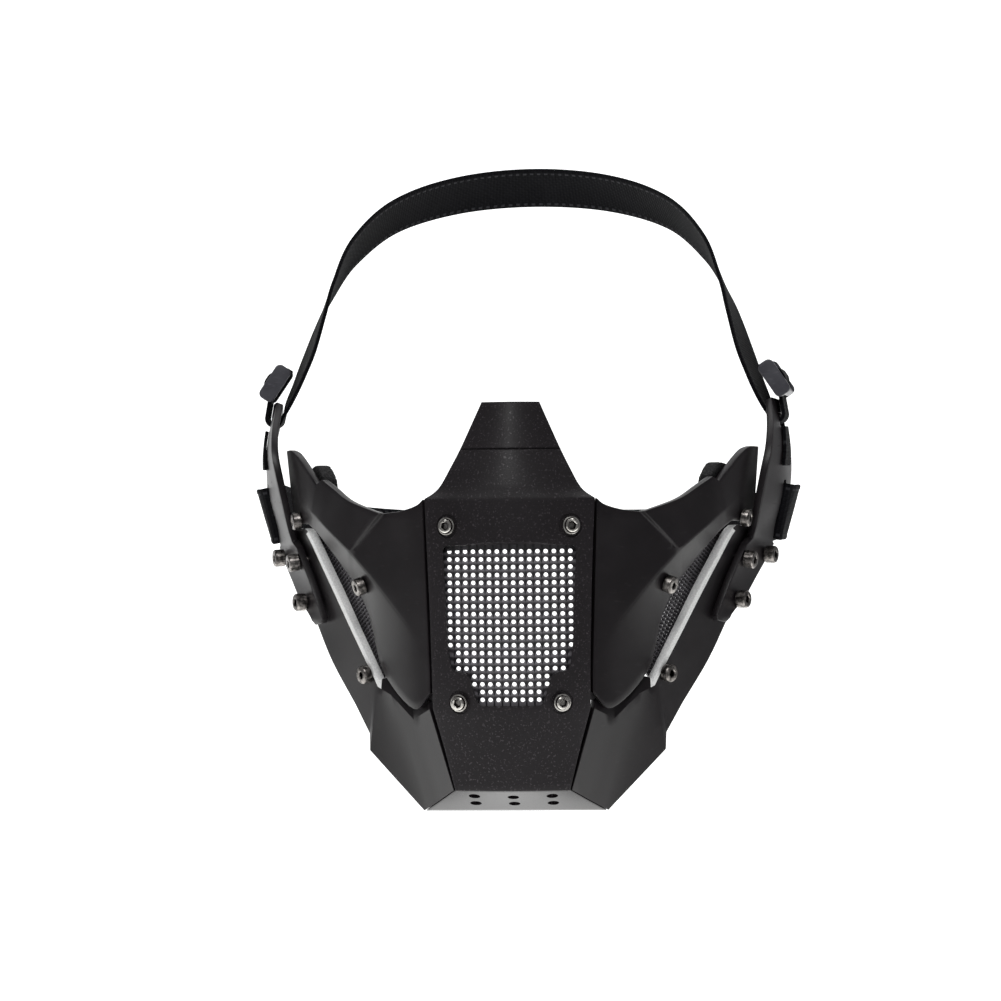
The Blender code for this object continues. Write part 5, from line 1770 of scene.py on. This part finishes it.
def lower_route(arm: Arm) -> Route:
    """Right half of the lower strap: folded end, arm slot and nape."""
    matrix = arm.coarse.frame(*arm.lower_slot)
    inner = WEBBING / 2 + STRAP_GAP
    lip = arm.slot_height / 2
    turn_radius = inner + ARM_WALL / 2
    bulge = inner + FOLD_BULGE
    plan = [(FOLD_END, inner), (FOLD_END * 0.6, inner + FOLD_BULGE * 0.7), (lip, bulge)]
    plan += bend((lip, -ARM_WALL / 2), bulge + ARM_WALL / 2, 0, -90,
                 turn_radius / (bulge + ARM_WALL / 2))[1:]
    plan += bend((lip, -ARM_WALL / 2), turn_radius, -90, -180)[1:]
    points = laid_out(matrix, 0, plan)
    up, out = matrix.to_3x3().col[1].copy(), matrix.to_3x3().col[2].copy()
    splayed = len(points) - BEND_STEPS * 2
    leans = [up + out * FOLD_SPLAY] * splayed + [up] * (BEND_STEPS * 2)
    route = to_middle([points[-1]] + [at(*corner) for corner in LOWER_ROUTE])
    turns = to_middle([leans[-1]] + [Vector(lean) for lean in LOWER_LEAN])
    return Route(points[:-1] + route, leans[:-1] + turns)


@dataclass(frozen=True)
class Band:
    """Woven band of even width and thickness."""

    width: float
    thick: float = WEBBING

    def section(self) -> Profile:
        """Closed cross-section of (across, out) pairs with sewn borders."""
        upper = [(a * self.width, b * self.thick) for a, b in STRAP_SECTION]
        lower = [(-a, -b) for a, b in upper]
        return upper + lower

    def mesh(self, route: Route) -> bmesh.types.BMesh:
        """Sweep the section along the route.

        Args:
            route: Middle line and width directions.

        Returns:
            A closed bmesh that carries across, along and half_width for the weave.
        """
        section = self.section()
        last = len(route.points) - 1
        bm = bmesh.new()
        count = len(section)
        names = ("across", "along", "half_width")
        for name in names:
            bm.verts.layers.float.new(name)
        layers = [bm.verts.layers.float[name] for name in names]
        made = bmesh.ops.create_grid(bm, x_segments=count, y_segments=last, size=1)["verts"]
        length = 0.0
        for k, (point, lean) in enumerate(zip(route.points, route.leans)):
            before, after = route.points[max(k - 1, 0)], route.points[min(k + 1, last)]
            tangent = (after - before).normalized()
            across = (lean - tangent * lean.dot(tangent)).normalized()
            normal = tangent.cross(across).normalized()
            length += (point - route.points[max(k - 1, 0)]).length
            for c in range(count + 1):
                a, b = section[c % count]
                vertex = made[k * (count + 1) + c]
                vertex.co = point + across * a + normal * b
                for layer, value in zip(layers, (a, length, self.width / 2)):
                    vertex[layer] = value
        bmesh.ops.remove_doubles(bm, verts=bm.verts, dist=SAME_POINT)
        ends = [edge for edge in bm.edges if len(edge.link_faces) == 1]
        bmesh.ops.holes_fill(bm, edges=ends)
        bmesh.ops.recalc_face_normals(bm, faces=bm.faces)
        return bm


@dataclass(frozen=True)
class Slider:
    """Three-bar slider outside the upper strap's tail: thin bars between two deep rails."""

    arm: Arm
    height: float = 0.0159
    bar: float = 0.0022
    slot: float = 0.0042
    thick: float = 0.0026
    rail_width: float = 0.0026
    rail_depth: float = 0.0064
    rail_shift: float = 0.0008
    rail_round: float = 0.0022
    rail_spans: int = 7
    edge_round: float = 0.0004
    edge_spans: int = 3
    hard_edge: float = 60

    def centre(self) -> Matrix:
        """Frame of the slider's middle."""
        lift = WEBBING / 2 + FIT_GAP + self.thick / 2
        shift = Matrix.Translation((0, self.height - TAIL_KNEE, lift))
        return tail_frame(self.arm.coarse.frame(*self.arm.upper_slot)) @ shift

    def build(self) -> None:
        """Make the slider with rounded rails."""
        tall = self.bar * 3 + self.slot * 2
        wide = UPPER_WIDTH + self.rail_width * 2 + FIT_GAP * 2
        opening = UPPER_WIDTH + FIT_GAP * 2
        bm = bmesh.new()
        block = Matrix.Diagonal((wide, tall, self.rail_depth, 1))
        bmesh.ops.create_cube(bm, size=1, matrix=block)
        ends = [edge for edge in bm.edges
                if abs(edge.verts[0].co.x - edge.verts[1].co.x) > wide / 2]
        bmesh.ops.bevel(bm, geom=ends, offset=self.rail_round, segments=self.rail_spans,
                        profile=0.5, affect="EDGES", material=-1)
        hard = [edge for edge in bm.edges
                if edge.calc_face_angle(0) > math.radians(self.hard_edge)]
        bmesh.ops.bevel(bm, geom=hard, offset=self.edge_round, segments=self.edge_spans,
                        profile=0.5, affect="EDGES", clamp_overlap=True, material=-1)
        shift = Matrix.Translation((0, 0, -self.rail_shift))
        bmesh.ops.transform(bm, matrix=self.centre() @ shift, verts=bm.verts)
        tag = self.arm.side.tag
        slider = add_piece("strap_slider_" + tag, bm, BUCKLE, ["slider_" + tag],
                           SHARP_BAND)
        for sign in (-1, 1):
            relief = Vector((0, 0, sign * (self.thick / 2 + self.rail_depth)))
            size = (opening + FIT_GAP, tall * 2, self.rail_depth * 2)
            self.box(relief, size).taken_from(slider)
            slot = Vector((0, sign * (self.bar + self.slot) / 2, 0))
            self.box(slot, (opening, self.slot, self.thick * 3)).taken_from(slider)
        dress(slider, BUCKLE, SHARP_BAND)

    def box(self, middle: Vector, size: tuple[float, float, float]) -> Cutter:
        """Box-shaped cutter in the slider's frame."""
        bm = bmesh.new()
        matrix = self.centre() @ Matrix.Translation(middle) @ Matrix.Diagonal((*size, 1))
        bmesh.ops.create_cube(bm, size=1, matrix=matrix)
        return Cutter(bm)


@dataclass(frozen=True)
class Keeper:
    """Flat webbing keeper on the outside of the arm, at rows and shares across of the arm."""

    arm: Arm
    rows: tuple[float, ...] = (9.2, 9.8, 10.4, 11.0)
    columns: tuple[float, ...] = (0.42, 0.56, 0.70)
    steps: tuple[int, int] = (6, 8)
    thick: float = 0.0012
    edge_round: float = 0.0003
    half_width: float = 0.0075

    def build(self) -> None:
        """Make the keeper as a short crowned band."""
        rows = []
        for row in self.rows:
            line = []
            for share in self.columns:
                spot = self.arm.coarse.point(row, share)
                line.append(spot + self.arm.coarse.normal(row, share) * FIT_GAP)
            rows.append(line)
        inner = Grid(rows).refined(self.steps[0]).crossed().refined(self.steps[1]).crossed()
        bm = walled(inner.moved(self.thick, outward), inner, self.edge_round)
        across = bm.verts.layers.float.new("across")
        along = bm.verts.layers.float.new("along")
        half = bm.verts.layers.float.new("half_width")
        middle = inner.point(len(inner.rows) / 2, 0.5)
        for vertex in bm.verts:
            vertex[across] = (vertex.co - middle).y
            vertex[along] = (vertex.co - middle).z
            vertex[half] = self.half_width
        tag = self.arm.side.tag
        add_piece("strap_keeper_" + tag, bm, WEAVE, ["keeper_" + tag], SHARP_BAND)


@dataclass(frozen=True)
class EarPad:
    """Foam pad inside the wing, swollen and rough."""

    side: Side
    steps: int = 5
    thick: float = 0.0045
    edge_share: float = 0.36
    roughness: tuple[float, float] = (-0.0003, 0.0004)
    smoothing: float = 0.4
    left_seed: int = 7
    right_seed: int = 11

    def build(self) -> None:
        """Make the pad as a rounded closed form with a torn surface."""
        rows = []
        for section in PAD_SECTIONS:
            top, low = flip(at(*section.top), self.side), flip(at(*section.low), self.side)
            rows.append([top, top.lerp(low, 0.5), low])
        outer = Grid(rows).refined(self.steps).crossed().refined(self.steps).crossed()
        bm = walled(outer, outer.moved(self.thick, inward), self.thick * self.edge_share)
        rng = random.Random(self.left_seed if self.side is Side.LEFT else self.right_seed)
        for vertex in bm.verts:
            vertex.co += vertex.normal * rng.uniform(*self.roughness)
        bmesh.ops.smooth_vert(bm, verts=bm.verts, factor=self.smoothing, use_axis_x=True,
                              use_axis_y=True, use_axis_z=True)
        tag = self.side.tag
        pad = add_piece("ear_cushion_" + tag, bm, FOAM, ["ear_pad_" + tag], SHARP_FOAM)


@dataclass(frozen=True)
class PhotoCamera:
    """Camera level with the mask, a little to one side of the middle plane."""

    azimuth: float = 4.0
    roll: float = 0.5
    distance: float = 1.5
    metres_per_pixel: float = 0.000365
    shift: float = 10.5
    aim: tuple[float, float, float] = (0.0, 0.004, -0.027)
    sensor: float = 36.0
    pixels: int = 1001

    def build(self) -> None:
        """Place the camera and make it the scene's."""
        turn = math.radians(self.azimuth)
        right = Vector((math.cos(turn), math.sin(turn), 0))
        forward = Vector((-math.sin(turn), math.cos(turn), 0))
        up = Vector((0, 0, 1))
        tilt = math.radians(self.roll)
        x_axis = right * math.cos(tilt) - up * math.sin(tilt)
        y_axis = up * math.cos(tilt) + right * math.sin(tilt)
        place = Vector(self.aim) - forward * self.distance
        place -= right * (self.shift * self.metres_per_pixel)
        data = bpy.data.cameras.new("photo_camera")
        data.sensor_width = self.sensor
        data.lens = self.distance / self.metres_per_pixel * self.sensor / self.pixels
        camera = bpy.data.objects.new("photo_camera", data)
        rotation = Matrix((x_axis, y_axis, -forward)).transposed().to_4x4()
        camera.matrix_world = Matrix.Translation(place) @ rotation
        bpy.context.scene.collection.objects.link(camera)
        bpy.context.scene.camera = camera


@dataclass(frozen=True)
class SoftLight:
    """Rectangular soft light aimed at a point of the mask."""

    name: str
    place: tuple[float, float, float]
    size: tuple[float, float]
    power: float
    target: tuple[float, float, float] = (0.0, 0.05, -0.05)

    def build(self) -> None:
        """Add the light."""
        data = bpy.data.lights.new(self.name, "AREA")
        data.shape = "RECTANGLE"
        data.size, data.size_y = self.size
        data.energy = self.power
        light = bpy.data.objects.new(self.name, data)
        way = Vector(self.target) - Vector(self.place)
        light.matrix_world = (Matrix.Translation(self.place)
                              @ way.to_track_quat("-Z", "Y").to_matrix().to_4x4())
        bpy.context.scene.collection.objects.link(light)


@dataclass(frozen=True)
class Studio:
    """White sweep, soft lights and a dim surround on the camera's side."""

    floor_height: float = -0.34
    floor_depths: tuple[float, ...] = (-0.7, 0.4, 1.2, 1.6)
    wall_heights: tuple[float, ...] = (0.9, 1.6, 2.4, 3.2)
    bend_radius: float = 0.9
    bend_steps: int = 18
    columns: int = 9
    pitch: float = 0.28
    left_edge: float = -1.45
    surround: Colour = (0.20, 0.20, 0.205)
    lights: tuple[SoftLight, ...] = (
        SoftLight("top_light", (0.0, 0.5, 1.3), (1.2, 0.9), 9.0),
        SoftLight("front_top_light", (-0.10, -1.00, 1.05), (0.9, 0.45), 11.0),
        SoftLight("left_light", (-1.2, 1.5, 0.1), (0.5, 1.4), 2.2),
        SoftLight("right_light", (1.2, 1.5, 0.1), (0.5, 1.4), 0.4),
    )

    def build(self) -> None:
        """Make the sweep, the lights and the world."""
        self.sweep()
        for light in self.lights:
            light.build()
        world = bpy.data.worlds.new("studio")
        world.use_nodes = True
        background = world.node_tree.nodes["Background"]
        background.inputs["Color"].default_value = (*self.surround, 1)
        background.inputs["Strength"].default_value = 1.0
        scene = bpy.context.scene
        scene.world = world
        scene.view_settings.view_transform = "Standard"
        scene.view_settings.look = "None"

    def sweep(self) -> None:
        """Floor that curves up into a back wall."""
        profile = [(depth, 0.0) for depth in self.floor_depths]
        start, radius = self.floor_depths[-1], self.bend_radius
        for step in range(1, self.bend_steps):
            turn = math.radians(90 * step / self.bend_steps)
            profile.append((start + radius * math.sin(turn), radius * (1 - math.cos(turn))))
        profile += [(start + radius, height) for height in self.wall_heights]
        rows = []
        for depth, rise in profile:
            rows.append([Vector((k * self.pitch + self.left_edge, depth, self.floor_height + rise))
                         for k in range(self.columns)])
        bm = bmesh.new()
        lay_grid(bm, Grid(rows))
        mesh = bpy.data.meshes.new("floor")
        bm.to_mesh(mesh)
        bm.free()
        floor = bpy.data.objects.new("floor", mesh)
        bpy.context.scene.collection.objects.link(floor)
        mesh.materials.append(WARDROBE[StudioPaper()])
        mesh.shade_smooth()


@dataclass(frozen=True)
class Mask:
    """The whole mask, built from its sub-assemblies."""

    front_screw: SocketScrew = SocketScrew(head_height=0.0026, collar=0.0013, socket=0.00155,
                                           socket_depth=0.0016)
    low_screw: SocketScrew = SocketScrew(head_height=0.0032, socket=0.0014)
    cap_screw: SocketScrew = SocketScrew(knurls=24)

    def build(self) -> None:
        """Make every piece and report each group."""
        centre = CentreShell()
        centre.build()
        FrontSheet().build(centre)
        self.front_screws(centre)
        LOG.info("centre shell, window sheet and front screws")
        arms = {}
        for side in Side:
            arms[side] = self.side(side)
            LOG.info("%s side", side.tag)
        self.straps(arms[Side.RIGHT])
        LOG.info("straps")

    def front_screws(self, centre: CentreShell) -> None:
        """Four screws round the window."""
        number = 0
        for x, z in FRONT_SCREWS:
            for side in Side:
                number += 1
                normal = centre.normal(x * side.value, z)
                point = centre.point(x * side.value, z) - normal * centre.seat_sink
                self.front_screw.build("front_screw_%d" % number, frame_at(point, normal),
                                       GUNMETAL, Slot.FRONT_SCREWS)

    def side(self, side: Side) -> Arm:
        """All pieces of one side; gives its arm."""
        cheek, jaw, arm = Cheek(side), Jaw(side), Arm(side)
        for part in (cheek, jaw, SideSheet(side), arm, Slider(arm), Keeper(arm), EarPad(side)):
            part.build()
        low = {**cheek.screw_frames(), "jaw_screw_" + side.tag: jaw.screw_frame()}
        for name, matrix in low.items():
            self.low_screw.build(name, matrix, BLACKENED, Slot.SIDE_SCREWS)
        for name, matrix in arm.screw_frames().items():
            self.cap_screw.build(name, matrix, BLACKENED, Slot.SIDE_SCREWS)
        return arm

    def straps(self, arm: Arm) -> None:
        """Both straps, whole loops from arm to arm."""
        upper = Band(UPPER_WIDTH).mesh(upper_route(Slider(arm)).whole())
        add_piece("upper_webbing", upper, WEAVE, ["upper_strap"], SHARP_BAND)
        lower = Band(LOWER_WIDTH).mesh(lower_route(arm).whole())
        add_piece("lower_webbing", lower, WEAVE, ["lower_strap"], SHARP_BAND)


def main() -> None:
    """Build the camera, the set and the mask."""
    logging.basicConfig(level=logging.INFO, format="%(name)s: %(message)s")
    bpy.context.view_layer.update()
    PhotoCamera().build()
    Studio().build()
    Mask().build()


if __name__ == "__main__":
    main()
